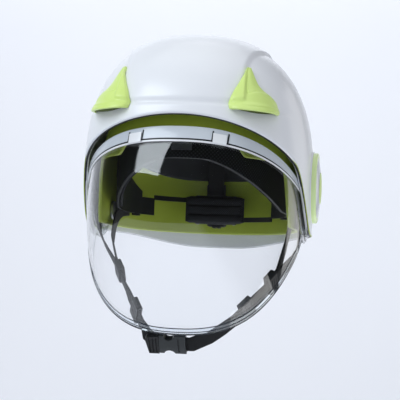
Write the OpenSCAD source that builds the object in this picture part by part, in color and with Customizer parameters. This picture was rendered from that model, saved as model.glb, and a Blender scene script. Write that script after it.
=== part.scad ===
// Rescue helmet with a clear face shield that slides up between a white outer shell and a lime inner shell.
// The origin is the middle of the wearer's head, level with the side pods.
// -Y is the front, +X the wearer's left.

/* [Outer shell] */
// Width of the outer shell over its sides
shell_width = 215; // [213:0.5:222]
// Reach of the outer shell forward of the origin
shell_front = 146.5; // [145:0.5:152]
// Reach of the outer shell behind the origin
shell_back = 140; // [136:0.5:146]
// Height of the crown above the origin
shell_height = 140; // [138:0.5:146]
// Wall of the outer shell
shell_wall = 3.5; // [2.5:0.1:4.5]
// Height of the rim over the face
rim_front = 51.5; // [48:0.5:56]
// Height of the rim under the side pods
rim_side = -42; // [-48:0.5:-40]
// Height of the rim at the nape
rim_back = -52; // [-60:0.5:-44]
// Width of the raised centre panel over the crown
panel_width = 130; // [116:1:140]
// Width of the raised centre panel between the scoops
panel_front = 106; // [96:1:114]
// Height of the raised centre panel
panel_step = 2.2; // [1:0.1:3.5]

/* [Inner shell] */
// Gap from the outer shell's outside to the inner shell's outside, at the sides
shell_gap = 13; // [12:0.1:15]
// Reach of the inner shell forward of the origin
inner_front = 132; // [129:0.5:134]
// Height of the inner shell's crown
inner_height = 120; // [116:0.5:122]
// Wall of the inner shell
inner_wall = 3; // [2:0.1:3.4]

/* [Impact liner] */
// Thickness of the foam liner at the sides
liner_side = 8.5; // [7:0.1:10]
// Thickness of the foam liner at the crown
liner_crown = 14; // [10:0.5:18]
// Gap that the liner's glue line fills
liner_gap = 0.05; // [0.05:0.05:0.5]

/* [Visor] */
// Radius of the visor about its pivot, in the middle plane
visor_radius = 154; // [150:0.5:155]
// Gap between the visor and the outer shell's inside, at the cheeks
visor_gap = 1.25; // [1:0.05:3]
// Sheet thickness of the visor
visor_wall = 2.5; // [1.6:0.1:3]
// Pivot position behind the origin
pivot_y = 6; // [2:0.5:10]
// Pivot position above the origin
pivot_z = -23.6; // [-27:0.2:-20]
// Angle of the visor's top edge above level
visor_top = 24.5; // [22:0.5:27]
// Angle of the visor's chin edge below level
visor_chin = 48; // [40:0.5:50]
// Radial width of the trim band along the top edge, as an angle
band_angle = 4.3; // [3:0.1:6]
// Thickness of the trim band
band_wall = 1.5; // [1:0.1:2]

/* [Pivots and pods] */
// Diameter of the visor pivot pins
pin_d = 12; // [8:0.5:14]
// Running clearance of a pin in its hub, on the radius
pin_clearance = 0.05; // [0.03:0.01:0.1]
// Diameter of the side pods
pod_d = 68; // [60:1:72]
// Pod centre behind the origin
pod_y = 12; // [8:0.5:16]
// Pod centre above the origin
pod_z = 3.5; // [0:0.5:6]
// Depth of the lime pod base
pod_base_depth = 4.4; // [3:0.1:6]
// Height of the domed cap over its base
pod_cap_rise = 2.8; // [2:0.1:4]

/* [Headband] */
// Gap between the headband and the inner shell's inside, at the temples
headband_gap = 9.5; // [8.5:0.1:13.5]
// Reach of the headband forward of the origin
headband_front = 107; // [102:1:109]
// Gap between the headband and the inner shell's inside, at the nape
headband_back_gap = 20; // [16:1:24]
// Wall of the headband
headband_wall = 1.8; // [1.2:0.1:2.4]
// Thickness of the padding inside the band
pad_thickness = 4.2; // [2:0.1:6]
// Thickness of the mesh cover over the band
cover_thickness = 1.2; // [0.8:0.1:2]

/* [Size adjuster] */
// Teeth on the pinion
pinion_teeth = 12; // [10:1:16]
// Pitch radius of the pinion
pinion_radius = 6; // [5:0.25:8]
// Diameter of the dial
dial_d = 38; // [30:1:44]
// Height of the rack bars
rack_height = 5; // [4:0.25:7]
// Height of the nape dial's centre above the origin
nape_z = -14; // [-18:0.5:-8]
// Clearance of the sliding arms in their guides
slide_clearance = 0.3; // [0.2:0.05:0.5]

/* [Harness] */
// Width of the webbing
webbing_width = 15; // [10:0.5:20]
// Thickness of the webbing
webbing_thickness = 1.6; // [1:0.1:2]
// Length of the buckle's socket
socket_length = 24; // [20:0.5:30]
// Length of the buckle's clip without its prongs
clip_length = 11.3; // [9:0.1:15]
// Height of the buckle
buckle_height = 19; // [17:0.5:24]
// Thickness of the buckle
buckle_thickness = 8; // [7:0.5:10]
// Length of a strap adjuster along the webbing
adjuster_length = 14; // [10:0.5:16]

/* [Hidden] */

white = [0.95, 0.96, 0.97];
lime = [0.78, 0.92, 0.12];
black = [0.08, 0.08, 0.09];
graphite = [0.25, 0.26, 0.28];
silver = [0.78, 0.80, 0.83];
clear = [0.85, 0.92, 0.97, 0.35];

eps = 0.01;
dome_power = 2.65;     // squareness of the outer shell seen from the front
inner_power = 2;       // squareness of the inner shell seen from the front
plan_power = 2.3;      // squareness of the shells seen from above
visor_power = 2.4;     // squareness of the visor's section
shell_columns = 64;
shell_rows = 15;
inner_columns = 48;
liner_rows = 8;
skirt_rows = 4;        // rows of the inner shell below the liner
cradle_width = 18;     // width of the crown straps

// Each dome is [half width, front, back, height, squareness]
outer_size = [shell_width/2, shell_front, shell_back, shell_height, dome_power];
outer_bore = [for (i = [0:3]) outer_size[i] - shell_wall, dome_power];
inner_half = shell_width/2 - shell_gap;
inner_back = shell_back - shell_gap;
inner_size = [inner_half, inner_front, inner_back, inner_height, inner_power];
inner_bore = [for (i = [0:3]) inner_size[i] - inner_wall, inner_power];
visor_width = shell_width - 2*(shell_wall + visor_gap);
liner_size = [for (i = [0:3]) inner_bore[i] - liner_gap, inner_power];
liner_bore = [liner_size[0] - liner_side, liner_size[1] - liner_side - 2, liner_size[2] - liner_side - 2,
    liner_size[3] - liner_crown, 2.3];

// Shared shape functions
function mix(a, b, t) = a + (b - a)*t;
function clamp01(t) = min(1, max(0, t));
function smooth(a, b, x) = let (t = clamp01((x - a)/(b - a))) t*t*(3 - 2*t);
function unit(v) = v/norm(v);
function signed_power(v, p) = sign(v)*pow(abs(v), p);
// Unit outline of a dome seen from above, at a turn from the front
function plan(turn) = pow(pow(abs(sin(turn)), plan_power) + pow(abs(cos(turn)), plan_power), -1/plan_power);
// Drop angle, from the crown at 0, at which a dome reaches a height; below its equator the wall is upright
function drop_at(size, z) = z > 0 ? acos(min(1, pow(z/size[3], size[4]/2))) : 90 - z;
function dome(size, turn, drop) =
    let (k = plan(turn),
        reach = abs(turn) < 90 || turn > 270 ? size[1] : size[2],
        rho = drop < 90 ? pow(sin(drop), 2/size[4]) : 1,
        z = drop < 90 ? size[3]*pow(cos(drop), 2/size[4]) : 90 - drop)
    [size[0]*rho*k*sin(turn), -reach*rho*k*cos(turn), z];
function dome_at(size, turn, z) = dome(size, turn, drop_at(size, z));
function away(turn) = turn > 180 ? 360 - turn : turn;

// Rim heights round each piece, by turn from the front
function outer_rim(turn) = let (a = away(turn))
    a < 90 ? mix(rim_front - 14.5*pow(a/40, 2), rim_side, smooth(61, 89, a))
        : mix(rim_side, rim_back, smooth(120, 170, a));
function inner_rim(turn) = let (a = away(turn))
    a < 60 ? mix(34, 18, smooth(28, 36, a)) : a < 90 ? mix(18, rim_side + 4, smooth(60, 72, a))
        : mix(rim_side + 4, rim_back + 14, smooth(130, 170, a));
function liner_rim(turn) = let (a = away(turn))
    a < 90 ? mix(47, 35, smooth(20, 80, a)) : mix(35, 20, smooth(90, 160, a));

// Relief of the outer shell: a raised centre panel and a brow band over the rim
brow_crease = 65;
brow_relief = 1.8;
function relief(p) =
    let (edge = mix(panel_front, panel_width, smooth(-112, -25, p[1]))/2,
        side = smooth(edge + 3, edge - 3, abs(p[0])),
        above = smooth(brow_crease, brow_crease + 7, p[1] < 0 ? p[2] : brow_crease + 7),
        brow = smooth(brow_crease, brow_crease - 4, p[2])*smooth(-60, -100, p[1]))
    panel_step*side*above*smooth(10, 40, p[2]) + brow_relief*brow;
function outer_surface(turn, t) =
    let (p = dome(outer_size, turn, t*drop_at(outer_size, outer_rim(turn))), lift = relief(p))
    p + lift*unit(p);
function bore_surface(turn, t) = dome(outer_bore, turn, t*drop_at(outer_bore, outer_rim(turn)));
// The inner shell's rows follow the liner's down to its rim, so that the two faces lie together
inner_rows = liner_rows + skirt_rows;
function row_drop(size, turn, t) =
    let (edge = drop_at(liner_size, liner_rim(turn)), share = liner_rows/inner_rows)
    t <= share ? t/share*edge : mix(edge, drop_at(size, inner_rim(turn)), (t - share)/(1 - share));
function inner_surface(turn, t) = dome(inner_size, turn, row_drop(inner_size, turn, t));
function inner_bore_surface(turn, t) = dome(inner_bore, turn, row_drop(inner_bore, turn, t));
function liner_surface(turn, t) = dome(liner_size, turn, t*drop_at(liner_size, liner_rim(turn)));
function liner_bore_surface(turn, t) = dome(liner_bore, turn, t*drop_at(liner_bore, liner_rim(turn)));

// Closed bowl between an outer and an inner surface, joined along the rim
module bowl(outer, inner, columns, rows) {
    function ring(f, r) = [for (c = [0:columns - 1]) f(360*c/columns, r/rows)];
    function face_rows(first, flip) = [for (r = [1:rows - 1], c = [0:columns - 1])
        let (a = first + 1 + (r - 1)*columns + c, b = first + 1 + (r - 1)*columns + (c + 1)%columns,
            d = a + columns, e = b + columns)
        each flip ? [[a, e, b], [a, d, e]] : [[a, b, e], [a, e, d]]];
    function fan(first, flip) = [for (c = [0:columns - 1])
        let (a = first + 1 + c, b = first + 1 + (c + 1)%columns) flip ? [first, a, b] : [first, b, a]];
    inner_first = 1 + rows*columns;
    outer_rim_first = 1 + (rows - 1)*columns;
    inner_rim_first = inner_first + outer_rim_first;
    points = concat([outer(0, 0)], [for (r = [1:rows]) each ring(outer, r)],
        [inner(0, 0)], [for (r = [1:rows]) each ring(inner, r)]);
    rim = [for (c = [0:columns - 1])
        let (a = outer_rim_first + c, b = outer_rim_first + (c + 1)%columns,
            d = inner_rim_first + c, e = inner_rim_first + (c + 1)%columns)
        each [[a, b, e], [a, e, d]]];
    polyhedron(points, concat(fan(0, false), face_rows(0, false), fan(inner_first, true),
        face_rows(inner_first, true), rim));
}

// Copy of the children on each side of the middle plane
module both_sides() {
    children();
    mirror([1, 0, 0]) children();
}

// Turns a profile of [radius, x] about the pivot axis, which runs along X, between two angles above level
module about_pivot(from, to) {
    translate([0, pivot_y, pivot_z]) rotate([0, 90, 0]) rotate([0, 0, 270 - to])
        rotate_extrude(angle = to - from) children();
}

module along_pivot() {
    translate([0, pivot_y, pivot_z]) rotate([0, 90, 0]) children();
}

// Outer and inner shells
boss_d = pod_d + 3;
boss_inner = visor_width/2 + 0.7;
boss_outer = shell_width/2 + 0.4;
module outer_shell() {
    color(white) difference() {
        union() {
            bowl(function(a, t) outer_surface(a, t), function(a, t) bore_surface(a, t),
                shell_columns, shell_rows);
            both_sides() translate([boss_inner, pod_y, pod_z]) rotate([0, 90, 0])
                cylinder(h = boss_outer - boss_inner, d = boss_d, $fn = 96);
        }
        along_pivot() cylinder(h = 2*shell_width, d = pin_d, center = true, $fn = 48);
        screw_bores();
    }
}

// Space of the lowered visor and a clearance inside it, from which the inner shell's brow keeps back
visor_clearance = 0.8;
module lowered_visor_space() {
    about_pivot(-visor_chin, visor_top + 2) difference() {
        translate([0, -visor_width]) square([2*visor_radius, 2*visor_width]);
        polygon(visor_section(-visor_wall - visor_clearance));
    }
}
module inner_shell() {
    color(lime) difference() {
        bowl(function(a, t) inner_surface(a, t), function(a, t) inner_bore_surface(a, t),
            inner_columns, inner_rows);
        lowered_visor_space();
        both_sides() along_pivot() rotate([0, 0, 13]) translate([0, 0, inner_half/2])
            cylinder(h = shell_width, d = pin_d, $fn = 48);
    }
}

module impact_liner() {
    color(graphite) bowl(function(a, t) liner_surface(a, t), function(a, t) liner_bore_surface(a, t),
        inner_columns, liner_rows);
}

// Vent scoops: rows of [height, turn of the inner edge, turn of the outer edge], from the tip down
scoop_rows = [[97, 34.8, 37], [90, 32.3, 37.7], [85, 30.4, 38.3], [80, 28.7, 39.4], [75.5, 27.1, 41.8],
    [72, 26, 45], [67, 24.7, 47.8], [61, 23.7, 48.7], [56, 24, 48.3]];
scoop_steps = 12;
scoop_wall = 2.2;
scoop_edge = 2.6;
scoop_rise = 10.5;
scoop_sag = 3;
scoop_seat = 0.6;
function scoop_point(row, w, lift) =
    let (r = scoop_rows[row], sag = scoop_sag*row/(len(scoop_rows) - 1)*sin(180*w),
        p = dome_at(outer_size, mix(r[1], r[2], w), r[0] - sag), l = relief(p))
    p + (lift + l + scoop_seat)*unit([p[0], p[1], 0.35*p[2]]);
function scoop_bulge(row, w) = let (s = row/(len(scoop_rows) - 1))
    scoop_rise*pow(s, 0.8)*pow(sin(180*w), 0.75);
module vent_scoop() {
    rows = len(scoop_rows);
    n = scoop_steps + 1;
    top = [for (r = [0:rows - 1], i = [0:scoop_steps])
        scoop_point(r, i/scoop_steps, scoop_edge + scoop_bulge(r, i/scoop_steps))];
    under = [for (r = [0:rows - 1], i = [0:scoop_steps])
        scoop_point(r, i/scoop_steps, r < 2 ? 0 : max(0, scoop_edge - scoop_wall
            + scoop_bulge(r, clamp01((i/scoop_steps - 0.5)*1.12 + 0.5)) - 0.2))];
    m = rows*n;
    grid = [for (r = [0:rows - 2], i = [0:scoop_steps - 1])
        let (a = r*n + i, b = a + 1, d = a + n, e = d + 1)
        each [[a, b, e], [a, e, d], [m + a, m + e, m + b], [m + a, m + d, m + e]]];
    ends = [for (i = [0:scoop_steps - 1])
        let (a = i, b = i + 1, d = (rows - 1)*n + i, e = d + 1)
        each [[a, m + b, b], [a, m + a, m + b], [d, e, m + e], [d, m + e, m + d]]];
    sides = [for (r = [0:rows - 2])
        let (a = r*n, b = a + n, d = a + scoop_steps, e = d + n)
        each [[a, b, m + b], [a, m + b, m + a], [d, m + e, e], [d, m + d, m + e]]];
    polyhedron(concat(top, under), concat(grid, ends, sides));
}
module left_vent_scoop() { color(lime) vent_scoop(); }
module right_vent_scoop() { color(lime) mirror([1, 0, 0]) vent_scoop(); }

// Visor: a shell of revolution about the pivot axis, trimmed to its side outline
visor_steps = 40;
function visor_section(grow) =
    let (r = visor_radius + grow, w = visor_width/2 + grow)
    [for (i = [0:visor_steps]) let (a = 180*i/visor_steps)
        [r*pow(sin(a), 2/visor_power), w*signed_power(cos(a), 2/visor_power)]];
module visor_sheet(inside, outside) {
    difference() {
        polygon(visor_section(outside));
        polygon(visor_section(inside));
    }
}
ear_radius = 25;
hub_d = 26;
// Side outline of the visor round the pivot, as points [y, z] from it
chin_rise = 7;
visor_outline = concat(
    [[-cos(visor_top), sin(visor_top)]*visor_radius*1.5],
    [[-cos(visor_top), sin(visor_top)]*ear_radius*1.2],
    [for (a = [visor_top + 52:15:312 - visor_chin]) ear_radius*[-cos(a), sin(a)]],
    [for (s = [0:6]) let (r = mix(ear_radius*1.5, visor_radius*1.5, s/6),
            a = -visor_chin + chin_rise*(1 - smooth(60, visor_radius, r)))
        r*[-cos(a), sin(a)]]);
module visor_trim() {
    translate([-shell_width, pivot_y, pivot_z]) rotate([90, 0, 90])
        linear_extrude(2*shell_width) polygon(visor_outline);
}
module visor() {
    color(clear) difference() {
        intersection() {
            about_pivot(0, 360) visor_sheet(-visor_wall, 0);
            visor_trim();
        }
        along_pivot() cylinder(h = 2*shell_width, d = hub_d, center = true, $fn = 64);
    }
}

// Trim band and its clips lie on the outside of the visor's top edge
band_half = visor_width/2 - 5.75;
band_lift = 0.05;
module visor_top_band() {
    color(silver) about_pivot(visor_top - band_angle, visor_top) intersection() {
        visor_sheet(band_lift, band_wall);
        translate([0, -band_half]) square([2*visor_radius, 2*band_half]);
    }
}
clip_width = 11.5;
clip_x = 37;
clip_low = visor_top - band_angle - 1.2;
clip_angle = 3.6;
clip_wall = 1.6;
module visor_clips() {
    color(white) for (s = [-1, 1]) about_pivot(clip_low, clip_low + clip_angle)
        intersection() {
            visor_sheet(band_wall + band_lift, band_wall + clip_wall);
            translate([0, s*clip_x - clip_width/2]) square([2*visor_radius, clip_width]);
        }
}

// Hubs, pins and washers at each pivot
hub_flange_d = 34;
hub_flange = 1.6;
washer_d = 30;
washer_gap = 0.05;
visor_inner_x = visor_width/2 - visor_wall - 0.6;
module visor_hubs() {
    color(graphite) both_sides() along_pivot() difference() {
        union() {
            translate([0, 0, visor_inner_x - hub_flange])
                cylinder(h = hub_flange, d = hub_flange_d, $fn = 64);
            translate([0, 0, visor_inner_x - hub_flange])
                cylinder(h = visor_width/2 + 0.2 - visor_inner_x + hub_flange, d = hub_d, $fn = 64);
        }
        cylinder(h = 2*shell_width, d = pin_d + 2*pin_clearance, $fn = 48);
    }
}
module friction_washers() {
    color(silver) both_sides() along_pivot() translate([0, 0, inner_half + washer_gap]) difference() {
        cylinder(h = visor_inner_x - hub_flange - inner_half - 2*washer_gap, d = washer_d, $fn = 64);
        cylinder(h = 20, d = pin_d + 0.2, center = true, $fn = 48);
    }
}
pin_head_d = 18;
pin_head = 2.4;
module pivot_pins() {
    color(silver) both_sides() along_pivot() {
        translate([0, 0, inner_half - inner_wall - 0.6 - pin_head])
            cylinder(h = pin_head, d = pin_head_d, $fn = 48);
        translate([0, 0, inner_half - inner_wall - 0.6 - eps])
            cylinder(h = boss_outer - inner_half + inner_wall + 0.6 + eps, d = pin_d, $fn = 48);
    }
}

// Round pods over the pivots
screw_ring = 24;
screw_d = 3.4;
screw_head_d = 6.6;
function screw_place(i) = let (a = 50 + 120*i) [screw_ring*cos(a), screw_ring*sin(a)];
module on_pod() {
    translate([boss_outer, pod_y, pod_z]) rotate([0, 90, 0]) children();
}
module pod_screw_places() {
    for (i = [0:2]) translate([-screw_place(i)[1], screw_place(i)[0], 0]) children();
}
module screw_bores() {
    both_sides() on_pod() pod_screw_places()
        translate([0, 0, -3]) cylinder(h = 3.1, d = screw_d, $fn = 24);
}
pod_floor = 1.6;
pod_rim_wall = 4.5;
pod_fillet = 1.6;
module pod_base() {
    on_pod() difference() {
        rotate_extrude($fn = 96) difference() {
            polygon(concat([[0, 0], [pod_d/2, 0], [pod_d/2, pod_base_depth - pod_fillet]],
                [for (a = [15:15:90]) [pod_d/2 - pod_fillet + pod_fillet*cos(a),
                    pod_base_depth - pod_fillet + pod_fillet*sin(a)]],
                [[0, pod_base_depth]]));
            translate([0, pod_floor]) square([pod_d/2 - pod_rim_wall, pod_base_depth]);
        }
        pod_screw_places() translate([0, 0, -1]) cylinder(h = 10, d = screw_d, $fn = 24);
    }
}
module left_pod_base() { color(lime) pod_base(); }
module right_pod_base() { color(lime) mirror([1, 0, 0]) pod_base(); }

cap_r = pod_d/2 - pod_rim_wall - 0.3;
insert_r = 15;
cap_wall = 1.6;
cap_z = pod_base_depth - 0.8;
cap_sphere = (cap_r*cap_r + pod_cap_rise*pod_cap_rise)/(2*pod_cap_rise);
function cap_height(r) = sqrt(cap_sphere*cap_sphere - r*r) - cap_sphere + pod_cap_rise;
module pod_cap() {
    on_pod() translate([0, 0, cap_z]) rotate_extrude($fn = 96) polygon(concat(
        [for (r = [insert_r + 0.1:1.6:cap_r]) [r, 0.8 + cap_height(r)]],
        [[cap_r, 0.8], [cap_r, -0.8], [cap_r - cap_wall, -0.8], [cap_r - cap_wall, 0.2]],
        [for (r = [cap_r - cap_wall - 1.5:-1.6:insert_r + 2]) [r, cap_height(r) + 0.8 - cap_wall]],
        [[insert_r + 0.1, cap_height(insert_r) + 0.8 - cap_wall]]));
}
module left_pod_cap() { color(white) pod_cap(); }
module right_pod_cap() { color(white) mirror([1, 0, 0]) pod_cap(); }
module pod_insert() {
    on_pod() translate([0, 0, cap_z]) rotate_extrude($fn = 72) polygon(concat(
        [for (r = [0:1.5:insert_r]) [r, 1.2 + cap_height(r)]],
        [[insert_r, 1 + cap_height(insert_r)], [insert_r, cap_height(insert_r) + 0.8 - cap_wall],
            [insert_r + 2.4, cap_height(insert_r + 2.4) + 0.7 - cap_wall],
            [insert_r + 2.4, cap_height(insert_r) - 0.3 - cap_wall],
            [0, cap_height(insert_r) - 0.3 - cap_wall]]));
}
module left_pod_insert() { color(lime) pod_insert(); }
module right_pod_insert() { color(lime) mirror([1, 0, 0]) pod_insert(); }
module pod_screws() {
    color(silver) both_sides() on_pod() pod_screw_places() {
        translate([0, 0, -3]) cylinder(h = 3 + pod_floor, d = screw_d - 0.02, $fn = 24);
        translate([0, 0, pod_floor]) cylinder(h = 1.4, d1 = screw_head_d, d2 = screw_head_d - 1.6, $fn = 32);
    }
}

// Headband: half an ellipse round the front and half a circle round the back, about headband_y
band_half_width = inner_bore[0] - headband_gap;
headband_y = inner_bore[2] - headband_back_gap - band_half_width;
band_reach = headband_front + headband_y;
band_pieces = 72;
function band_point(turn, grow) = let (a = band_half_width + grow,
        b = abs(turn) < 90 ? band_reach + grow : a)
    [a*sin(turn), headband_y - b*cos(turn)];
module band_ring(from, to, inside, outside, low, high) {
    steps = ceil((to - from)/360*band_pieces);
    translate([0, 0, low]) linear_extrude(high - low) polygon(concat(
        [for (i = [0:steps]) band_point(mix(from, to, i/steps), outside)],
        [for (i = [steps:-1:0]) band_point(mix(from, to, i/steps), inside)]));
}
// Side outline of the front band: its lower edge falls to a point in front of the ear
front_low = 17;
front_high = 44;
tip_y = -12;
tip_z = -22;
arm_low = nape_z - 9;
arm_high = nape_z + 9;
front_outline = [[-120, front_low], [-104, front_low - 1], [-84, 5], [-55, -8], [-30, -17], [tip_y, tip_z],
    [70, arm_low], [70, arm_high], [20, 24], [-30, 31], [-84, 39], [-120, front_high]];
module front_slice() {
    translate([-shell_width, 0, 0]) rotate([90, 0, 90]) linear_extrude(2*shell_width) polygon(front_outline);
}
band_end = 118;
guide_length = 7;
guide_wall = 1.4;
module headband() {
    color(black) difference() {
        union() {
            intersection() {
                band_ring(-band_end, band_end, 0, headband_wall, -40, 60);
                front_slice();
            }
            both_sides() band_ring(band_end - guide_length, band_end - 1, headband_wall/2,
                rack_outside + slide_clearance + guide_wall, arm_low - 2, arm_high + 2);
        }
        both_sides() band_ring(band_end - guide_length - 1, band_end, headband_wall + 0.02,
            rack_outside + slide_clearance, arm_low - slide_clearance, arm_high + slide_clearance);
    }
}
pad_end = 76;
module brow_pad() {
    color(black) intersection() {
        band_ring(-pad_end, pad_end, -pad_thickness, -0.1, -40, 60);
        translate([0, 0, 1]) front_slice();
    }
}
cover_end = 80;
module headband_cover() {
    color(black) intersection() {
        band_ring(-cover_end, cover_end, headband_wall + 0.1, headband_wall + cover_thickness, -40, 60);
        front_slice();
    }
}

// Size adjuster: two toothed arms lap over the band's ends, cross at the nape and mesh with one pinion
tooth_pitch = 2*PI*pinion_radius/pinion_teeth;
module_size = 2*pinion_radius/pinion_teeth;
addendum = 0.9*module_size;
dedendum = 1.25*module_size;
tooth_share = 0.42;    // share of the pitch that a tooth fills
rack_wall = 1.8;
rack_inside = headband_wall + slide_clearance;
rack_outside = rack_inside + rack_wall;
rack_pitch_r = band_half_width + rack_inside + rack_wall/2;
pitch_turn = tooth_pitch/rack_pitch_r*180/PI;
arm_past = 20;         // turn that an arm reaches past the middle of the nape
arm_start = 96;
rack_far = dedendum + pinion_radius + rack_height;
module at_back(turn) {
    translate([0, headband_y, 0]) rotate([0, 0, turn - 180]) children();
}
gap_root = tooth_pitch*(1 - tooth_share)/2 - dedendum*tan(20);
gap_tip = tooth_pitch*(1 - tooth_share)/2 + addendum*tan(20);
module rack_gap() {
    translate([0, band_half_width + rack_outside + 1, nape_z]) rotate([90, 0, 0])
        linear_extrude(rack_wall + 2)
        polygon([[-gap_root, -pinion_radius - dedendum], [-gap_tip, -pinion_radius + addendum],
            [-gap_tip - 0.2, -pinion_radius + addendum + 1], [gap_tip + 0.2, -pinion_radius + addendum + 1],
            [gap_tip, -pinion_radius + addendum], [gap_root, -pinion_radius - dedendum]]);
}
// Arm that comes from the wearer's left, with its teeth pointing up at the pinion
arm_narrow = 132;      // turn at which the arm narrows to its rack
teeth_from = 164;
module band_arm() {
    difference() {
        band_ring(arm_start, 180 + arm_past, rack_inside, rack_outside, nape_z - rack_far, arm_high);
        band_ring(arm_start - 1, arm_narrow, rack_inside - 1, rack_outside + 1,
            nape_z - rack_far - 1, arm_low);
        band_ring(arm_narrow, teeth_from, rack_inside - 1, rack_outside + 1,
            nape_z - pinion_radius - dedendum, arm_high + 1);
        band_ring(teeth_from - 0.5, 181 + arm_past, rack_inside - 1, rack_outside + 1,
            nape_z - pinion_radius + addendum, arm_high + 1);
        for (i = [0:floor((180 + arm_past - teeth_from)/pitch_turn)])
            at_back(180 + (floor(arm_past/pitch_turn) - i)*pitch_turn) rack_gap();
    }
}
module left_band_arm() { color(black) band_arm(); }
module right_band_arm() {
    color(black) translate([0, 0, 2*nape_z]) rotate([0, 180, 0]) band_arm();
}

// Housing, cover, dial and pinion
nape_turn = 15;
nape_lip = 2.4;
nape_half = rack_far + slide_clearance + nape_lip;
nape_plate = 2.2;
nape_tab = 12;
housing_outside = rack_inside - slide_clearance;
housing_inside = housing_outside - nape_plate;
rail_outside = rack_outside + slide_clearance;
cover_wall = 1.8;
nape_tab_y = headband_y + sqrt(pow(band_half_width + housing_inside + 0.2, 2) - pow(cradle_width/2, 2))
    - webbing_thickness/2 - 0.5;
shaft_d = 8;
stub_d = 5;
stub_depth = 1.4;
shaft_clearance = 0.05;
pinion_from = headband_y + band_half_width + housing_outside + 0.25;
pinion_to = headband_y - 0.15
    + sqrt(pow(band_half_width + rail_outside, 2) - pow(pinion_radius + addendum, 2));
dial_from = headband_y + band_half_width + rail_outside + cover_wall + 0.3;
dial_depth = 10;
module along_dial(y) {
    translate([0, y, nape_z]) rotate([-90, 0, 0]) children();
}
nape_screw_d = 2;
module nape_screw_places() {
    for (t = [-1, 1], z = [-1, 1]) at_back(180 + t*(nape_turn - 2))
        translate([0, band_half_width, nape_z + z*(nape_half - nape_lip/2)]) rotate([-90, 0, 0]) children();
}
module nape_housing() {
    color(graphite) difference() {
        union() {
            band_ring(180 - nape_turn, 180 + nape_turn, housing_inside, rail_outside,
                nape_z - nape_half, nape_z + nape_half);
            band_ring(173, 187, housing_inside + 0.2, housing_outside - 0.2, nape_z + nape_half - 1,
                nape_z + nape_half + nape_tab);
        }
        band_ring(179 - nape_turn, 181 + nape_turn, housing_outside, rail_outside + 1,
            nape_z - rack_far - slide_clearance, nape_z + rack_far + slide_clearance);
        along_dial(headband_y + band_half_width + housing_outside - stub_depth - 0.1)
            cylinder(h = 10, d = stub_d + 2*shaft_clearance, $fn = 48);
        nape_screw_places() translate([0, 0, housing_outside - 0.8])
            cylinder(h = 10, d = nape_screw_d, $fn = 24);
    }
}
module nape_cover() {
    color(graphite) difference() {
        band_ring(180 - nape_turn, 180 + nape_turn, rail_outside, rail_outside + cover_wall,
            nape_z - nape_half, nape_z + nape_half);
        along_dial(headband_y + band_half_width) cylinder(h = 20, d = shaft_d + 2*shaft_clearance, $fn = 48);
        nape_screw_places() cylinder(h = 20, d = nape_screw_d, $fn = 24);
    }
}
module nape_screws() {
    color(silver) nape_screw_places() {
        translate([0, 0, housing_outside - 0.8])
            cylinder(h = rail_outside + cover_wall - housing_outside + 0.8, d = nape_screw_d, $fn = 24);
        translate([0, 0, rail_outside + cover_wall]) cylinder(h = 1.1, d1 = 4, d2 = 3, $fn = 24);
    }
}
pinion_root = pinion_radius - dedendum;
pinion_outer = pinion_radius + addendum;
function polar(r, a) = [r*cos(a), r*sin(a)];
flank = [for (i = [0:4]) let (r = mix(pinion_radius*cos(20), pinion_outer, i/4),
        roll = acos(pinion_radius*cos(20)/r), spread = tan(roll)*180/PI - roll,
        start = tan(20)*180/PI - 20)
    [r, 180*tooth_share/pinion_teeth + start - spread]];
module nape_pinion() {
    tooth = [for (k = [0:pinion_teeth - 1]) let (a = 360*k/pinion_teeth)
        each concat([polar(pinion_root, a - flank[0][1])], [for (f = flank) polar(f[0], a - f[1])],
            [for (i = [len(flank) - 1:-1:0]) polar(flank[i][0], a + flank[i][1])],
            [polar(pinion_root, a + flank[0][1])])];
    color(graphite) {
        along_dial(pinion_from) linear_extrude(pinion_to - pinion_from) polygon(tooth);
        along_dial(pinion_from - stub_depth) cylinder(h = stub_depth + 0.1, d = stub_d, $fn = 48);
        along_dial(pinion_to - 0.1)
            cylinder(h = dial_from + dial_depth - 2 - pinion_to, d = shaft_d, $fn = 48);
    }
}
grips = 20;
module nape_dial() {
    color(black) along_dial(dial_from) difference() {
        rotate_extrude($fn = 96) polygon([[0, 0], [dial_d/2 - 1, 0], [dial_d/2, 1],
            [dial_d/2, dial_depth - 2], [dial_d/2 - 2, dial_depth], [dial_d/2 - 5, dial_depth],
            [dial_d/2 - 6.5, dial_depth - 1.4], [0, dial_depth - 1.4]]);
        cylinder(h = 2*(dial_depth - 2.1), d = shaft_d, center = true, $fn = 48);
        for (i = [0:grips - 1]) rotate([0, 0, 360*i/grips]) translate([dial_d/2 + 0.6, 0, -1])
            cylinder(h = dial_depth + 2, d = 3.4, $fn = 24);
    }
}
module nape_pad() {
    color(black) band_ring(180 - nape_turn - 8, 180 + nape_turn + 8, housing_inside - 7, housing_inside - 0.1,
        nape_z - nape_half + 0.5, nape_z + nape_half - 1);
}

// Crown cradle: two webbing arches with a pad, hung from the band
cross_y = 6;
cross_top = inner_height - inner_wall - liner_crown - 13.2;
brow_y = -headband_front;
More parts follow.
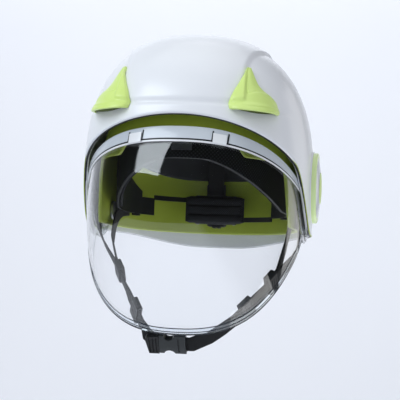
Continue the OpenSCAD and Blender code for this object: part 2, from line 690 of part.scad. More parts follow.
// Inner face of the brow pad at the strap's edge
arch_front = headband_y
    - (band_reach - pad_thickness)*sqrt(1 - pow(cradle_width/2/(band_half_width - pad_thickness), 2));
long_arch = [[arch_front + webbing_thickness/2 + 0.2, 32], [arch_front + webbing_thickness/2 + 0.35, 44],
    [-94, cross_top - 29.8], [-66, cross_top - 9.8], [-30, cross_top + 0.2], [cross_y, cross_top + 2.2],
    [44, cross_top - 1.8], [76, cross_top - 19.8], [94, 40],
    [nape_tab_y, nape_z + nape_tab + nape_half], [nape_tab_y, nape_z + nape_half + 1]];
cross_half = band_point(82, 0)[0] - 0.8 - webbing_thickness/2;
cross_arch = [for (p = [[1, 20], [0.99, 30], [0.93, 48],
    [0.75, cross_top - 19.8], [0.52, cross_top - 6.8], [0.37, cross_top - 0.1],
    [0, cross_top]]) [p[0]*cross_half, p[1]]];
module ribbon(points) {
    path = spline(points);
    n = len(path);
    function side(i) = let (t = unit(path[min(n - 1, i + 1)] - path[max(0, i - 1)]))
        [-t[1], t[0]]*webbing_thickness/2;
    translate([0, 0, -cradle_width/2]) linear_extrude(cradle_width)
        polygon(concat([for (i = [0:n - 1]) path[i] + side(i)], [for (i = [n - 1:-1:0]) path[i] - side(i)]));
}
module crown_strap_long() {
    color(graphite) rotate([90, 0, 90]) ribbon(long_arch);
}
module crown_strap_cross() {
    color(graphite) translate([0, cross_y, 0]) rotate([90, 0, 0])
        ribbon(concat(cross_arch,
            [for (i = [len(cross_arch) - 2:-1:0]) [-cross_arch[i][0], cross_arch[i][1]]]));
}
module crown_pad() {
    color(black) translate([0, cross_y, cross_top - webbing_thickness/2 - 3.35]) rotate_extrude($fn = 64)
        polygon([[0, -1.4], [24, -1.4], [29, -0.4], [30, 1], [29, 2.4], [24, 3.2], [0, 3.2]]);
}
// Clips that hang the band from the inner shell: a plate on the band and a tongue out to the shell
hook_width = 18;
hook_plate = 2;
module hook(band_at, shell_at, low, high, tongue) {
    translate([band_at, -hook_width/2, low]) cube([hook_plate, hook_width, high - low]);
    translate([band_at, -hook_width/2, tongue]) cube([shell_at - band_at, hook_width, 4]);
}
side_hook_high = 34;
brow_hook_z = 37;
hook_fit = 0.3;
module cradle_clips() {
    color(graphite) both_sides() translate([0, cross_y, 0])
        hook(band_point(90, headband_wall)[0] + 0.1,
            dome_at(inner_bore, 90, side_hook_high - 1)[0] - hook_fit,
            8, side_hook_high, side_hook_high - 5);
    color(graphite) rotate([0, 0, -90])
        hook(-brow_y + headband_wall + cover_thickness + 0.1,
            -dome_at(inner_bore, 0, brow_hook_z + 4)[1] - 2*hook_fit,
            front_low + 6, brow_hook_z + 4, brow_hook_z);
}

// Harness
module strap(pairs, width = webbing_width) {
    n = len(pairs);
    function tangent(i) = unit(pairs[min(n - 1, i + 1)][0] - pairs[max(0, i - 1)][0]);
    function across(i) = unit(cross(tangent(i), pairs[i][1]));
    function outward_at(i) = cross(across(i), tangent(i));
    points = [for (i = [0:n - 1])
        let (w = across(i)*width/2, h = outward_at(i)*webbing_thickness/2, p = pairs[i][0])
        each [p + w + h, p - w + h, p - w - h, p + w - h]];
    sides = [for (i = [0:n - 2], k = [0:3]) let (a = 4*i + k, b = 4*i + (k + 1)%4, d = a + 4, e = b + 4)
        each [[a, b, e], [a, e, d]]];
    polyhedron(points, concat([[0, 2, 1], [0, 3, 2]], sides,
        [[4*n - 4, 4*n - 3, 4*n - 2], [4*n - 4, 4*n - 2, 4*n - 1]]));
}
// Smooth curve through hand-placed points
curve_steps = 4;
function spline(p) = [for (i = [0:len(p) - 2], s = [0:i == len(p) - 2 ? curve_steps : curve_steps - 1])
    let (t = s/curve_steps, a = p[max(0, i - 1)], b = p[i], c = p[i + 1], d = p[min(len(p) - 1, i + 2)])
    0.5*((2*b) + (c - a)*t + (2*a - 5*b + 4*c - d)*t*t + (3*b - a - 3*c + d)*t*t*t)];
// Direction away from the head at a point on a strap
jaw_y = -20;
jaw_z = -45;
function outward(p) = unit(p - [0, jaw_y, p[2] > jaw_z ? p[2] : mix(jaw_z, p[2], 0.55)]);
function run(points) = [for (p = spline(points)) [p, outward(p)]];
function straight_run(a, b, n) = let (d = unit(b - a)*2.5) [for (p = [a, a + d, b - d, b]) [p, n]];
module at_frame(origin, along, n) {
    y = unit(cross(n, along));
    z = cross(along, y);
    multmatrix([[along[0], y[0], z[0], origin[0]], [along[1], y[1], z[1], origin[1]],
        [along[2], y[2], z[2], origin[2]], [0, 0, 0, 1]]) children();
}

// Anchors on the ear flaps and inside the back of the inner shell
anchor_y = -24;
anchor_top = -19;
anchor_plate = 1.4;
anchor_length = 20;
anchor_x = inner_half + 0.05;
strap_x = anchor_x + anchor_plate + webbing_thickness/2;
module anchor() {
    difference() {
        translate([0, -7, -anchor_length]) cube([anchor_plate, 14, anchor_length]);
        for (s = [-1, 1]) translate([0, 7*s, 0]) rotate([45, 0, 0]) cube([10, 4, 4], center = true);
    }
    translate([0, 0, -5]) rotate([0, 90, 0]) cylinder(h = anchor_plate + 1.4, d1 = 9, d2 = 6, $fn = 32);
}
module left_anchor() { color(black) translate([anchor_x, anchor_y, anchor_top]) anchor(); }
module right_anchor() { color(black) mirror([1, 0, 0]) left_anchor(); }
rear_turn = 197;
rear_anchor = [inner_bore[0] - 4.9, 44, -6];
module rear_anchors() {
    color(black) both_sides() translate(rear_anchor) rotate([0, 0, rear_turn]) anchor();
}

// Straps of each side meet in a keeper loop at D and run on to the buckle as one
left_keeper = [strap_x - 21.25, -42.5, -89];
left_bend = [strap_x - 30.75, -54.5, -102];
left_end = [strap_x - 50.75, -69, -124.5];
right_keeper = [28.25 - strap_x, -42, -84];
right_bend = [43.75 - strap_x, -58, -106.5];
right_end = [60.75 - strap_x, -74.5, -131];
function keeper_along(k, b) = unit(b - k);
under_layer = webbing_thickness + 0.15;
left_along = keeper_along(left_keeper, left_bend);
right_along = keeper_along(right_keeper, right_bend);
left_front_path = concat(
    [[[strap_x, anchor_y, anchor_top - 11], [1, 0, 0]], [[strap_x, anchor_y, anchor_top - 20], [1, 0, 0]]],
    run([[strap_x, -21, -46], [strap_x - 1.95, -18.5, -58], [strap_x - 6.75, -22, -69]]),
    straight_run(left_keeper - 11*left_along, left_keeper, outward(left_keeper)));
right_front_path = concat(
    [[[-strap_x, anchor_y, anchor_top - 11], [-1, 0, 0]], [[-strap_x, anchor_y, anchor_top - 20], [-1, 0, 0]]],
    run([[1.75 - strap_x, -24.5, -46], [7.25 - strap_x, -27.5, -56], [14.75 - strap_x, -32, -66]]),
    straight_run(right_keeper - 11*right_along, right_keeper, outward(right_keeper)));
module left_front_strap() { color(black) strap(left_front_path); }
module right_front_strap() { color(black) strap(right_front_path); }
rear_strap_width = 14;
rear_lift = anchor_plate + webbing_thickness/2 + 0.05;
rear_n = [cos(rear_turn), sin(rear_turn), 0];
rear_start = rear_anchor + rear_lift*rear_n;
function flip(p, s) = [s*p[0], p[1], p[2]];
function rear_top(s) = concat(
    [for (drop = [-10.5, -14]) [flip(rear_start + [0, 0, drop], s), flip(-rear_n, s)]],
    [for (p = spline([for (x = [[4.6, 33, -21], [4.1, 20, -26], [4.2, 8, -34],
            [5.4, -3, -43], [6.8, -12, -54]])
        flip([inner_bore[0] - x[0], x[1], x[2]], s)])) [p, [s, 0, 0]]]);
function rear_bottom(k, along) = let (n = outward(k))
    straight_run(k - 12*along - n*under_layer, k + 5*along - n*under_layer, n);
module left_rear_strap() {
    color(black) strap(concat(rear_top(1), rear_bottom(left_keeper, left_along)), rear_strap_width);
}
module right_rear_strap() {
    color(black) strap(concat(rear_top(-1), rear_bottom(right_keeper, right_along)), rear_strap_width);
}
buckle_centre = [-10, -80, -147];
buckle_tilt = 35;
buckle_n = [0, -cos(buckle_tilt), -sin(buckle_tilt)];
buckle_up = [0, -sin(buckle_tilt), cos(buckle_tilt)];
mouth_depth = 5;
split_x = -8.5;
socket_end = split_x + socket_length;
left_chin_path = concat(
    straight_run(left_keeper + 0.05*left_along, left_keeper + 12*left_along, outward(left_keeper)),
    straight_run(left_bend, left_end, outward((left_bend + left_end)/2)),
    run([[strap_x - 59.75, -73.2, -132], [strap_x - 70.75, -77.2, -140]]),
    straight_run(buckle_centre + [socket_end + 5, 0, 0],
        buckle_centre + [socket_end - mouth_depth, 0, 0], buckle_n));
clip_back = 0.9*buckle_thickness/2;
right_tail = buckle_centre + [split_x - 6, 0, 0] - buckle_n*(clip_back + webbing_thickness/2);
tail_along = unit(0.65*[1, 0, 0] - 0.76*buckle_up);
right_chin_path = concat(
    straight_run(right_keeper + 0.05*right_along, right_keeper + 20*right_along, outward(right_keeper)),
    straight_run(right_bend, right_end, outward((right_bend + right_end)/2)),
    straight_run(right_tail - 9*tail_along, right_tail, buckle_n));
module left_chin_strap() { color(black) strap(left_chin_path); }
module right_chin_strap() { color(black) strap(right_chin_path); }

// Loop round one or two layers of webbing, with ribs across its front
loop_wall = 1.7;
loop_side = 2.8;
module webbing_loop(length, layers, gap) {
    inner_low = -webbing_thickness/2 - (layers - 1)*under_layer - gap;
    inner_high = webbing_thickness/2 + gap;
    half = webbing_width/2 + gap;
    difference() {
        translate([-length/2, 0, 0]) rotate([90, 0, 90]) linear_extrude(length) difference() {
            polygon([[-half - loop_side, inner_low - loop_wall + 1],
                [-half - loop_side + 1, inner_low - loop_wall], [half + loop_side - 1, inner_low - loop_wall],
                [half + loop_side, inner_low - loop_wall + 1], [half + loop_side, inner_high + loop_wall - 1.4],
                [half + loop_side - 1.4, inner_high + loop_wall],
                [-half - loop_side + 1.4, inner_high + loop_wall],
                [-half - loop_side, inner_high + loop_wall - 1.4]]);
            translate([-half, inner_low]) square([2*half, inner_high - inner_low]);
        }
        for (x = [-length/2 + 2.5:3:length/2 - 2]) translate([x, 0, inner_high + loop_wall])
            cube([1.2, 2*half - 2, 1.6], center = true);
    }
}
keeper_length = 12;
keeper_gap = 0.05;
module left_keeper_loop() {
    color(black) at_frame(left_keeper, left_along, outward(left_keeper))
        webbing_loop(keeper_length, 2, keeper_gap);
}
module right_keeper_loop() {
    color(black) at_frame(right_keeper, right_along, outward(right_keeper))
        webbing_loop(keeper_length, 2, keeper_gap);
}
module adjuster(a, b) {
    at_frame((a + b)/2, unit(b - a), outward((a + b)/2)) webbing_loop(adjuster_length, 1, slide_clearance);
}
module left_adjuster() { color(black) adjuster(left_bend, left_end); }
module right_adjuster() { color(black) adjuster(right_bend, right_end); }

// Side-release buckle: x runs along the strap, y up and z out of its front
prong_length = 14.5;
cavity_half = 6.6;
module at_buckle() { at_frame(buckle_centre, [1, 0, 0], buckle_n) children(); }
module buckle_socket() {
    color(black) at_buckle() difference() {
        intersection() {
            translate([split_x, -buckle_height/2, -buckle_thickness/2])
                cube([socket_length, buckle_height, buckle_thickness]);
            translate([split_x - 1, 0, buckle_thickness/2 - 26]) rotate([0, 90, 0])
                cylinder(h = socket_length + 2, r = 26, $fn = 96);
        }
        translate([split_x - 1, -cavity_half, -2.3]) cube([prong_length + 1.6, 2*cavity_half, 4.6]);
        for (s = [-1, 1]) translate([split_x + 9, s*(buckle_height/2 + 1), -buckle_thickness])
            cylinder(h = 2*buckle_thickness, r = 5, $fn = 48);
        translate([socket_end - mouth_depth, -webbing_width/2 - 0.3, -webbing_thickness/2 - 0.15])
            cube([mouth_depth + 1, webbing_width + 0.6, webbing_thickness + 0.3]);
        translate([socket_end - mouth_depth - 2, -buckle_height/2 + 2.5, buckle_thickness/2 - 1.6])
            cube([1.6, buckle_height - 5, 4]);
    }
}
module buckle_clip() {
    color(black) at_buckle() {
        difference() {
            translate([0, 0, -clip_back]) linear_extrude(2*clip_back) polygon([
                [split_x - 0.2, -buckle_height/2], [split_x - 0.2, buckle_height/2],
                [split_x - clip_length, buckle_height/2 - 1.5],
                [split_x - clip_length - 1.4, buckle_height/2 - 4],
                [split_x - clip_length + 1.6, -buckle_height/2]]);
            for (i = [0:2]) translate([split_x - 3 - 3*i, -buckle_height/2 + 2, clip_back - 1.1])
                cube([1.3, buckle_height - 4.5, 4]);
        }
        for (y = [-cavity_half + 0.3, -1.4, cavity_half - 2.1]) translate([split_x - 0.5, y, -2])
            cube([prong_length + (y == -1.4 ? -1.5 : 0), y == -1.4 ? 2.8 : 1.8, 4]);
    }
}

outer_shell();
inner_shell();
impact_liner();
left_vent_scoop();
right_vent_scoop();
visor();
visor_top_band();
visor_clips();
visor_hubs();
pivot_pins();
friction_washers();
left_pod_base();
right_pod_base();
left_pod_cap();
right_pod_cap();
left_pod_insert();
right_pod_insert();
pod_screws();
headband();
brow_pad();
headband_cover();
cradle_clips();
crown_strap_long();
crown_strap_cross();
crown_pad();
left_band_arm();
right_band_arm();
nape_housing();
nape_cover();
nape_screws();
nape_dial();
nape_pinion();
nape_pad();
left_anchor();
right_anchor();
rear_anchors();
left_front_strap();
right_front_strap();
left_rear_strap();
right_rear_strap();
left_keeper_loop();
right_keeper_loop();
left_chin_strap();
right_chin_strap();
left_adjuster();
right_adjuster();
buckle_socket();
buckle_clip();
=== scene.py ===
import math

import bmesh
import bpy
import numpy as np
from mathutils import Matrix, Vector


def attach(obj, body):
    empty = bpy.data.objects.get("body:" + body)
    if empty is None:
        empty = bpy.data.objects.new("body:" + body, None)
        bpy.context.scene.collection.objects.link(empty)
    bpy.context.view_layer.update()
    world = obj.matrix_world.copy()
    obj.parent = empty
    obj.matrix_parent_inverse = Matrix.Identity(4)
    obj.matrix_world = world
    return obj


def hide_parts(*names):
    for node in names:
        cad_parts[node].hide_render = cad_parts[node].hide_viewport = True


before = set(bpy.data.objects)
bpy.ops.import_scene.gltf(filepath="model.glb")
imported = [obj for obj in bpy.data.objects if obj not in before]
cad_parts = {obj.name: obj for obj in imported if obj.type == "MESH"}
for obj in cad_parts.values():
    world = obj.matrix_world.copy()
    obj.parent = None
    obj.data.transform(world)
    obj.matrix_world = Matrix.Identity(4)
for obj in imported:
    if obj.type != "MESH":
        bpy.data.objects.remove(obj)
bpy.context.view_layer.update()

MM = 0.001
SIDES = (("left", 1), ("right", -1))


def add_object(name, data):
    ob = bpy.data.objects.new(name, data)
    bpy.context.scene.collection.objects.link(ob)
    return ob


# Camera at the photograph's angle. The focal length and the origin's place are in pixels of its frame.
PIXELS, SENSOR = 400, 36.0
AZIMUTH, ELEVATION, ROLL = 9.5, -5.0, 2.3
DISTANCE, FOCAL = 1.1, 1133.0
ORIGIN_X, ORIGIN_Y = 201.2, 188.0


def make_camera():
    a, e, t = (math.radians(v) for v in (AZIMUTH, ELEVATION, ROLL))
    back = Vector((math.sin(a) * math.cos(e), -math.cos(a) * math.cos(e), math.sin(e)))
    right = Vector((math.cos(a), math.sin(a), 0.0))
    up = back.cross(right)
    across = right * math.cos(t) + up * math.sin(t)
    upward = up * math.cos(t) - right * math.sin(t)
    # turn the axis so that the origin falls at its place in the frame
    middle = PIXELS / 2
    aim = (-back * FOCAL - across * (ORIGIN_X - middle) - upward * (middle - ORIGIN_Y)).normalized()
    side = aim.cross(upward).normalized()
    top = side.cross(aim)
    data = bpy.data.cameras.new("camera")
    data.sensor_width = SENSOR
    data.lens = FOCAL / PIXELS * SENSOR
    data.clip_start, data.clip_end = 0.05, 50
    cam = add_object("camera", data)
    cam.rotation_mode = "QUATERNION"
    cam.rotation_quaternion = Matrix((side, top, -aim)).transposed().to_quaternion()
    cam.location = back * DISTANCE
    bpy.context.scene.camera = cam


make_camera()
bpy.context.scene.view_settings.view_transform = "Standard"


# Node helpers
def new_material(name):
    m = bpy.data.materials.new(name)
    m.use_nodes = True
    nt = m.node_tree
    return m, nt, nt.nodes["Principled BSDF"]


def node(nt, kind, **values):
    n = nt.nodes.new(kind)
    for k, v in values.items():
        if k in n.inputs:
            n.inputs[k].default_value = v
        else:
            setattr(n, k, v)
    return n


def operate(nt, kind, operation, *values, clamp=False):
    """Math node of one operation, whose inputs are sockets or fixed values."""
    n = node(nt, kind, operation=operation)
    if clamp:
        n.use_clamp = True
    for socket, value in zip(n.inputs, values):
        if isinstance(value, bpy.types.NodeSocket):
            nt.links.new(value, socket)
        else:
            socket.default_value = value
    return n


def maths(nt, operation, *values, clamp=False):
    return operate(nt, "ShaderNodeMath", operation, *values, clamp=clamp).outputs[0]


def vectors(nt, operation, *values):
    return operate(nt, "ShaderNodeVectorMath", operation, *values)


def map_range(nt, value, **ends):
    """Map range node: from_min=0.2 sets its From Min."""
    n = node(nt, "ShaderNodeMapRange", **{k.replace("_", " ").title(): v for k, v in ends.items()})
    nt.links.new(value, n.inputs["Value"])
    return n.outputs["Result"]


def colour_ramp(nt, value, first, last, start=0.0, end=1.0):
    ramp = node(nt, "ShaderNodeValToRGB")
    ends = ramp.color_ramp.elements
    ends[0].position, ends[1].position = start, end
    ends[0].color, ends[1].color = (*first, 1), (*last, 1)
    nt.links.new(value, ramp.inputs["Fac"])
    return ramp.outputs["Color"]


def noise_over(nt, coord, scale, detail):
    noise = node(nt, "ShaderNodeTexNoise", Scale=scale, Detail=detail)
    nt.links.new(coord.outputs["Object"], noise.inputs["Vector"])
    return noise.outputs["Fac"]


def bump_from(nt, bsdf, height, strength, distance):
    bump = node(nt, "ShaderNodeBump", Strength=strength, Distance=distance)
    nt.links.new(height, bump.inputs["Height"])
    nt.links.new(bump.outputs["Normal"], bsdf.inputs["Normal"])


def mix_shaders(nt, share, first, second):
    blend = node(nt, "ShaderNodeMixShader")
    for socket, value in zip(blend.inputs, (share, first, second)):
        nt.links.new(value, socket)
    nt.links.new(blend.outputs[0], nt.nodes["Material Output"].inputs["Surface"])


# Materials
PLASTIC_IOR, VISOR_IOR = 1.5, 1.58
GRAIN_DEPTH = 0.00008


def vary_colour(nt, bsdf, dark, light, scale):
    """A slow change between two colours over the surface."""
    coord = node(nt, "ShaderNodeTexCoord")
    colour = colour_ramp(nt, noise_over(nt, coord, scale, 4.0), dark, light, 0.3, 0.7)
    nt.links.new(colour, bsdf.inputs["Base Color"])
    return coord


def vary_roughness(nt, bsdf, coord, low, high, scale):
    rough = map_range(nt, noise_over(nt, coord, scale, 5.0), to_min=low, to_max=high)
    nt.links.new(rough, bsdf.inputs["Roughness"])


def plastic(name, dark, light, rough, coat=0.0, grain=0.0, grain_scale=900, coat_rough=0.04):
    m, nt, b = new_material(name)
    coord = vary_colour(nt, b, dark, light, 14)
    vary_roughness(nt, b, coord, rough[0], rough[1], 30)
    b.inputs["IOR"].default_value = PLASTIC_IOR
    b.inputs["Coat Weight"].default_value = coat
    b.inputs["Coat Roughness"].default_value = coat_rough
    if grain:
        bump_from(nt, b, noise_over(nt, coord, grain_scale, 3.0), grain, GRAIN_DEPTH)
    return m


def metal(name, colour, rough):
    m, nt, b = new_material(name)
    coord = vary_colour(nt, b, [c * 0.85 for c in colour], colour, 60)
    b.inputs["Metallic"].default_value = 1.0
    vary_roughness(nt, b, coord, rough[0], rough[1], 250)
    return m


def webbing_material(name, dark, light, pitch_along, pitch_across):
    """Woven tape: ribs from the strip's own UV, which is in millimetres."""
    m, nt, b = new_material(name)
    uv = node(nt, "ShaderNodeTexCoord")
    split = node(nt, "ShaderNodeSeparateXYZ")
    nt.links.new(uv.outputs["UV"], split.inputs["Vector"])
    along, across = (maths(nt, "SINE", maths(nt, "MULTIPLY", split.outputs[axis], 2 * math.pi / pitch))
                     for axis, pitch in (("X", pitch_along), ("Y", pitch_across)))
    weave = map_range(nt, maths(nt, "MULTIPLY", along, across), from_min=-1)
    nt.links.new(colour_ramp(nt, weave, dark, light), b.inputs["Base Color"])
    bump_from(nt, b, weave, 0.55, 0.0003)
    b.inputs["Roughness"].default_value = 0.72
    b.inputs["Specular IOR Level"].default_value = 0.3
    b.inputs["Sheen Weight"].default_value = 0.06
    return m


def mesh_material(name, body, hole, pitch):
    """Perforated fabric: staggered round dots on UV in millimetres."""
    m, nt, b = new_material(name)
    uv = node(nt, "ShaderNodeTexCoord")
    cell = vectors(nt, "MULTIPLY", uv.outputs["UV"], (1 / pitch, 1 / pitch, 0)).outputs["Vector"]

    def dots(shift):
        moved = vectors(nt, "ADD", cell, (shift, shift, 0)).outputs["Vector"]
        place = vectors(nt, "FRACTION", moved).outputs["Vector"]
        return vectors(nt, "DISTANCE", place, (0.5, 0.5, 0)).outputs["Value"]
    colour = colour_ramp(nt, maths(nt, "MINIMUM", dots(0), dots(0.5)), hole, body, 0.2, 0.27)
    nt.links.new(colour, b.inputs["Base Color"])
    bump_from(nt, b, colour, 0.8, 0.0006)
    b.inputs["Roughness"].default_value = 0.75
    b.inputs["Specular IOR Level"].default_value = 0.15
    return m


def clear_material(name, tint, rough):
    m, nt, b = new_material(name)
    coord = vary_colour(nt, b, [c * 0.985 for c in tint], tint, 6)
    vary_roughness(nt, b, coord, rough, rough + 0.012, 40)
    b.inputs["Transmission Weight"].default_value = 1.0
    b.inputs["IOR"].default_value = VISOR_IOR
    # lamps shine through it
    path = node(nt, "ShaderNodeLightPath")
    through = node(nt, "ShaderNodeBsdfTransparent", Color=(*tint, 1))
    mix_shaders(nt, path.outputs["Is Shadow Ray"], b.outputs[0], through.outputs[0])
    return m


WHITE = plastic("white_gloss", (0.86, 0.88, 0.915), (0.89, 0.91, 0.94), (0.26, 0.36),
                coat=0.35, coat_rough=0.18)
# the inner shell's lime, darker and more olive than the scoops' lime: its own colour with painted shade from
# under the brow
LIME_WITH_SHADE = plastic("lime_plastic_with_shade", (0.40, 0.50, 0.045), (0.46, 0.57, 0.065), (0.32, 0.42), grain=0.12)
LIME_BRIGHT = plastic("lime_scoop", (0.66, 0.86, 0.22), (0.74, 0.93, 0.30), (0.28, 0.38), grain=0.08)
# pale lime of the pod rings: its own colour, made paler by a painted reflection of light at a grazing angle
LIME_PALE_WITH_REFLECTION = plastic("lime_ring_with_reflection", (0.74, 0.94, 0.40), (0.80, 0.98, 0.48), (0.2, 0.3), coat=0.3)
# dark olive of the sheets in the scoops' mouths: painted shade of the slot under each scoop
SCOOP_SHADE_SHEET = plastic("scoop_shade_sheet", (0.05, 0.075, 0.012), (0.09, 0.12, 0.02), (0.85, 0.95),
                 grain=0.8, grain_scale=420)
FOAM = plastic("foam_dark", (0.020, 0.021, 0.024), (0.032, 0.034, 0.038), (0.85, 0.95),
               grain=0.8, grain_scale=420)
BLACK = plastic("black_plastic", (0.006, 0.007, 0.009), (0.011, 0.013, 0.015), (0.34, 0.48), grain=0.25)
GREY = plastic("grey_plastic", (0.035, 0.038, 0.043), (0.05, 0.054, 0.06), (0.4, 0.52), grain=0.2)
SILVER = plastic("silver_trim", (0.55, 0.60, 0.66), (0.68, 0.73, 0.78), (0.14, 0.24), coat=0.5)
CLIP_WHITE = plastic("white_clip", (0.82, 0.84, 0.87), (0.88, 0.90, 0.92), (0.2, 0.3), coat=0.3)
CAP_WHITE = plastic("cap_white", (0.70, 0.74, 0.78), (0.78, 0.81, 0.85), (0.18, 0.28), coat=0.4)
STEEL = metal("steel", (0.62, 0.63, 0.65), (0.28, 0.42))
WEB = webbing_material("black_webbing", (0.003, 0.003, 0.004), (0.012, 0.013, 0.015), 1.5, 1.25)
MESH = mesh_material("band_mesh", (0.004, 0.005, 0.006), (0.016, 0.02, 0.024), 3.4)
CLEAR = clear_material("clear_visor", (0.985, 0.993, 1.0), 0.0)
SMOKE = plastic("visor_seam", (0.025, 0.03, 0.045), (0.04, 0.047, 0.065), (0.12, 0.2), coat=0.5)
JET = plastic("jet_plastic", (0.002, 0.002, 0.003), (0.005, 0.006, 0.007), (0.35, 0.45))
SOCKET = plastic("socket_plastic", (0.015, 0.018, 0.019), (0.027, 0.032, 0.034), (0.3, 0.4), grain=0.1)
NYLON = plastic("nylon", (0.70, 0.71, 0.70), (0.78, 0.79, 0.78), (0.35, 0.45))
PAD = mesh_material("pad_mesh", (0.012, 0.013, 0.015), (0.035, 0.038, 0.042), 2.4)
CLEAR_EDGE = clear_material("clear_edge", (0.90, 0.94, 0.97), 0.02)


# Mesh helpers: coordinates are given in millimetres, in the part's frame
def add_mesh(name, verts, faces, material, body, nodes, slot, sharp=None, uv=None):
    me = bpy.data.meshes.new(name)
    me.from_pydata([tuple(c * MM for c in v) for v in verts], [], faces)
    me.validate()
    bm = bmesh.new()
    bm.from_mesh(me)
    bmesh.ops.recalc_face_normals(bm, faces=bm.faces)
    if uv:
        layer = bm.loops.layers.uv.new("UVMap")
        bm.verts.ensure_lookup_table()
        for f in bm.faces:
            for loop in f.loops:
                loop[layer].uv = uv[loop.vert.index]
    bm.to_mesh(me)
    bm.free()
    me.shade_smooth()
    if sharp:
        me.set_sharp_from_angle(angle=math.radians(sharp))
    ob = add_object(name, me)
    me.materials.append(material)
    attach(ob, body)
    if nodes:
        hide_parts(*nodes)
    return ob


def ring_faces(rings, points, loop_rings=False, loop_points=True, first=0):
    """Faces over rings of points that are numbered ring after ring."""
    faces = []
    for c in range(rings if loop_rings else rings - 1):
        a, b = first + c * points, first + (c + 1) % rings * points
        for i in range(points if loop_points else points - 1):
            j = (i + 1) % points
            faces.append((a + i, a + j, b + j, b + i))
    return faces


def sheet_faces(n, m):
    """Faces of a closed sheet: two n x m grids of points, one after the other, joined along their borders."""
    faces = []
    k = n * m
    for i in range(n - 1):
        for j in range(m - 1):
            a, b, c, d = i * m + j, i * m + j + 1, (i + 1) * m + j + 1, (i + 1) * m + j
            faces += [(a, b, c, d), (k + a, k + d, k + c, k + b)]
        for j in (0, m - 1):
            a, d = i * m + j, (i + 1) * m + j
            faces.append((a, d, k + d, k + a))
    for i in (0, n - 1):
        for j in range(m - 1):
            a, b = i * m + j, i * m + j + 1
            faces.append((a, b, k + b, k + a))
    return faces


SOFT_ANGLE, BEVEL_STEPS = 35, 2


def dress(name, node_name, material, body, slot, bevel):
    """A copy of a CAD node's mesh with softened edges, which stands for it."""
    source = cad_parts[node_name]
    me = source.data.copy()
    me.materials.clear()
    me.materials.append(material)
    bm = bmesh.new()
    bm.from_mesh(me)
    bmesh.ops.remove_doubles(bm, verts=bm.verts, dist=2e-6)
    bmesh.ops.dissolve_limit(bm, angle_limit=math.radians(1.0), verts=bm.verts, edges=bm.edges)
    bm.to_mesh(me)
    bm.free()
    me.shade_smooth()
    ob = add_object(name, me)
    ob.matrix_world = source.matrix_world.copy()
    m = ob.modifiers.new("bevel", "BEVEL")
    m.width, m.segments = bevel * MM, BEVEL_STEPS
    m.limit_method, m.angle_limit = "ANGLE", math.radians(SOFT_ANGLE)
    m.use_clamp_overlap, m.harden_normals = True, True
    me.set_sharp_from_angle(angle=math.radians(SOFT_ANGLE))
    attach(ob, body)
    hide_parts(node_name)


def paint(node_name, material):
    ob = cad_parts[node_name]
    if ob.material_slots:
        for s in ob.material_slots:
            s.material = material
    else:
        ob.data.materials.append(material)


# Sizes and shape functions, as in the part's source.
# A dome is its half width, its reaches forward and back, its height and its squareness.
SHELL = (107.5, 146.5, 140.0, 140.0, 2.65)
SHELL_WALL = 3.5
INNER = (94.5, 132.0, 127.0, 120.0, 2.0)
INNER_WALL = 3.0
INNER_BROW, INNER_TAB = 34, 18
LINER_GAP, LINER_SIDE, LINER_END, LINER_CROWN, LINER_POWER = 0.3, 8.5, 10.5, 14, 2.3
PLAN_POWER = 2.3
RIM_FRONT, RIM_SIDE, RIM_BACK = 51.5, -42.0, -52.0
PANEL_FRONT, PANEL_BACK, PANEL_STEP, BROW_STEP = 53, 65, 2.2, 1.6
PIVOT_Y, PIVOT_Z = 6.0, -23.6
VISOR_RADIUS, VISOR_HALF, VISOR_WALL, VISOR_POWER = 154.0, 102.75, 2.5, 2.4
VISOR_TOP, VISOR_CHIN, CHIN_RISE, BAND_ANGLE = 24.5, 48.0, 7, 4.3
POD_Y, POD_Z = 12.0, 3.5


def mix(a, b, t):
    return a + (b - a) * t


def smooth(a, b, x):
    t = min(1.0, max(0.0, (x - a) / (b - a)))
    return t * t * (3 - 2 * t)


def sin(a):
    return math.sin(math.radians(a))


def cos(a):
    return math.cos(math.radians(a))


def unit(v):
    v = np.asarray(v, float)
    return v / np.linalg.norm(v)


def signed_power(v, p):
    return math.copysign(abs(v) ** p, v)


def plan(turn):
    """Reach of the rounded plan outline at a turn, which counts from the front."""
    return (abs(sin(turn)) ** PLAN_POWER + abs(cos(turn)) ** PLAN_POWER) ** (-1 / PLAN_POWER)


def drop_at(size, z):
    """Drop from the crown, in degrees, at a height. Past 90 it counts millimetres below the origin."""
    return math.degrees(math.acos(min(1, (z / size[3]) ** (size[4] / 2)))) if z > 0 else 90 - z


def dome(size, turn, drop):
    """Point of a dome at a turn from the front and a drop from the crown."""
    k = plan(turn)
    reach = size[1] if cos(turn) > 0 else size[2]
    rho = sin(drop) ** (2 / size[4]) if drop < 90 else 1
    z = size[3] * cos(drop) ** (2 / size[4]) if drop < 90 else 90 - drop
    return np.array([size[0] * rho * k * sin(turn), -reach * rho * k * cos(turn), z])


def dome_at(size, turn, z):
    return dome(size, turn, drop_at(size, z))


def away(turn):
    """Turn away from the front, to either side."""
    turn %= 360
    return 360 - turn if turn > 180 else turn


def outer_rim(turn):
    a = away(turn)
    if a < 90:
        return mix(RIM_FRONT - 14.5 * (a / 40) ** 2, RIM_SIDE, smooth(61, 89, a))
    return mix(RIM_SIDE, RIM_BACK, smooth(120, 170, a))


def inner_rim(turn):
    a = away(turn)
    if a < 60:
        return mix(INNER_BROW, INNER_TAB, smooth(28, 36, a))
    if a < 90:
        return mix(INNER_TAB, RIM_SIDE + 4, smooth(60, 72, a))
    return mix(RIM_SIDE + 4, RIM_BACK + 14, smooth(130, 170, a))


def liner_rim(turn):
    a = away(turn)
    return mix(47, 35, smooth(20, 80, a)) if a < 90 else mix(35, 20, smooth(90, 160, a))


def panel_half(y):
    """Half width of the raised centre panel: it widens from the scoops to the crown."""
    return mix(PANEL_FRONT, PANEL_BACK, smooth(-112, -25, y))


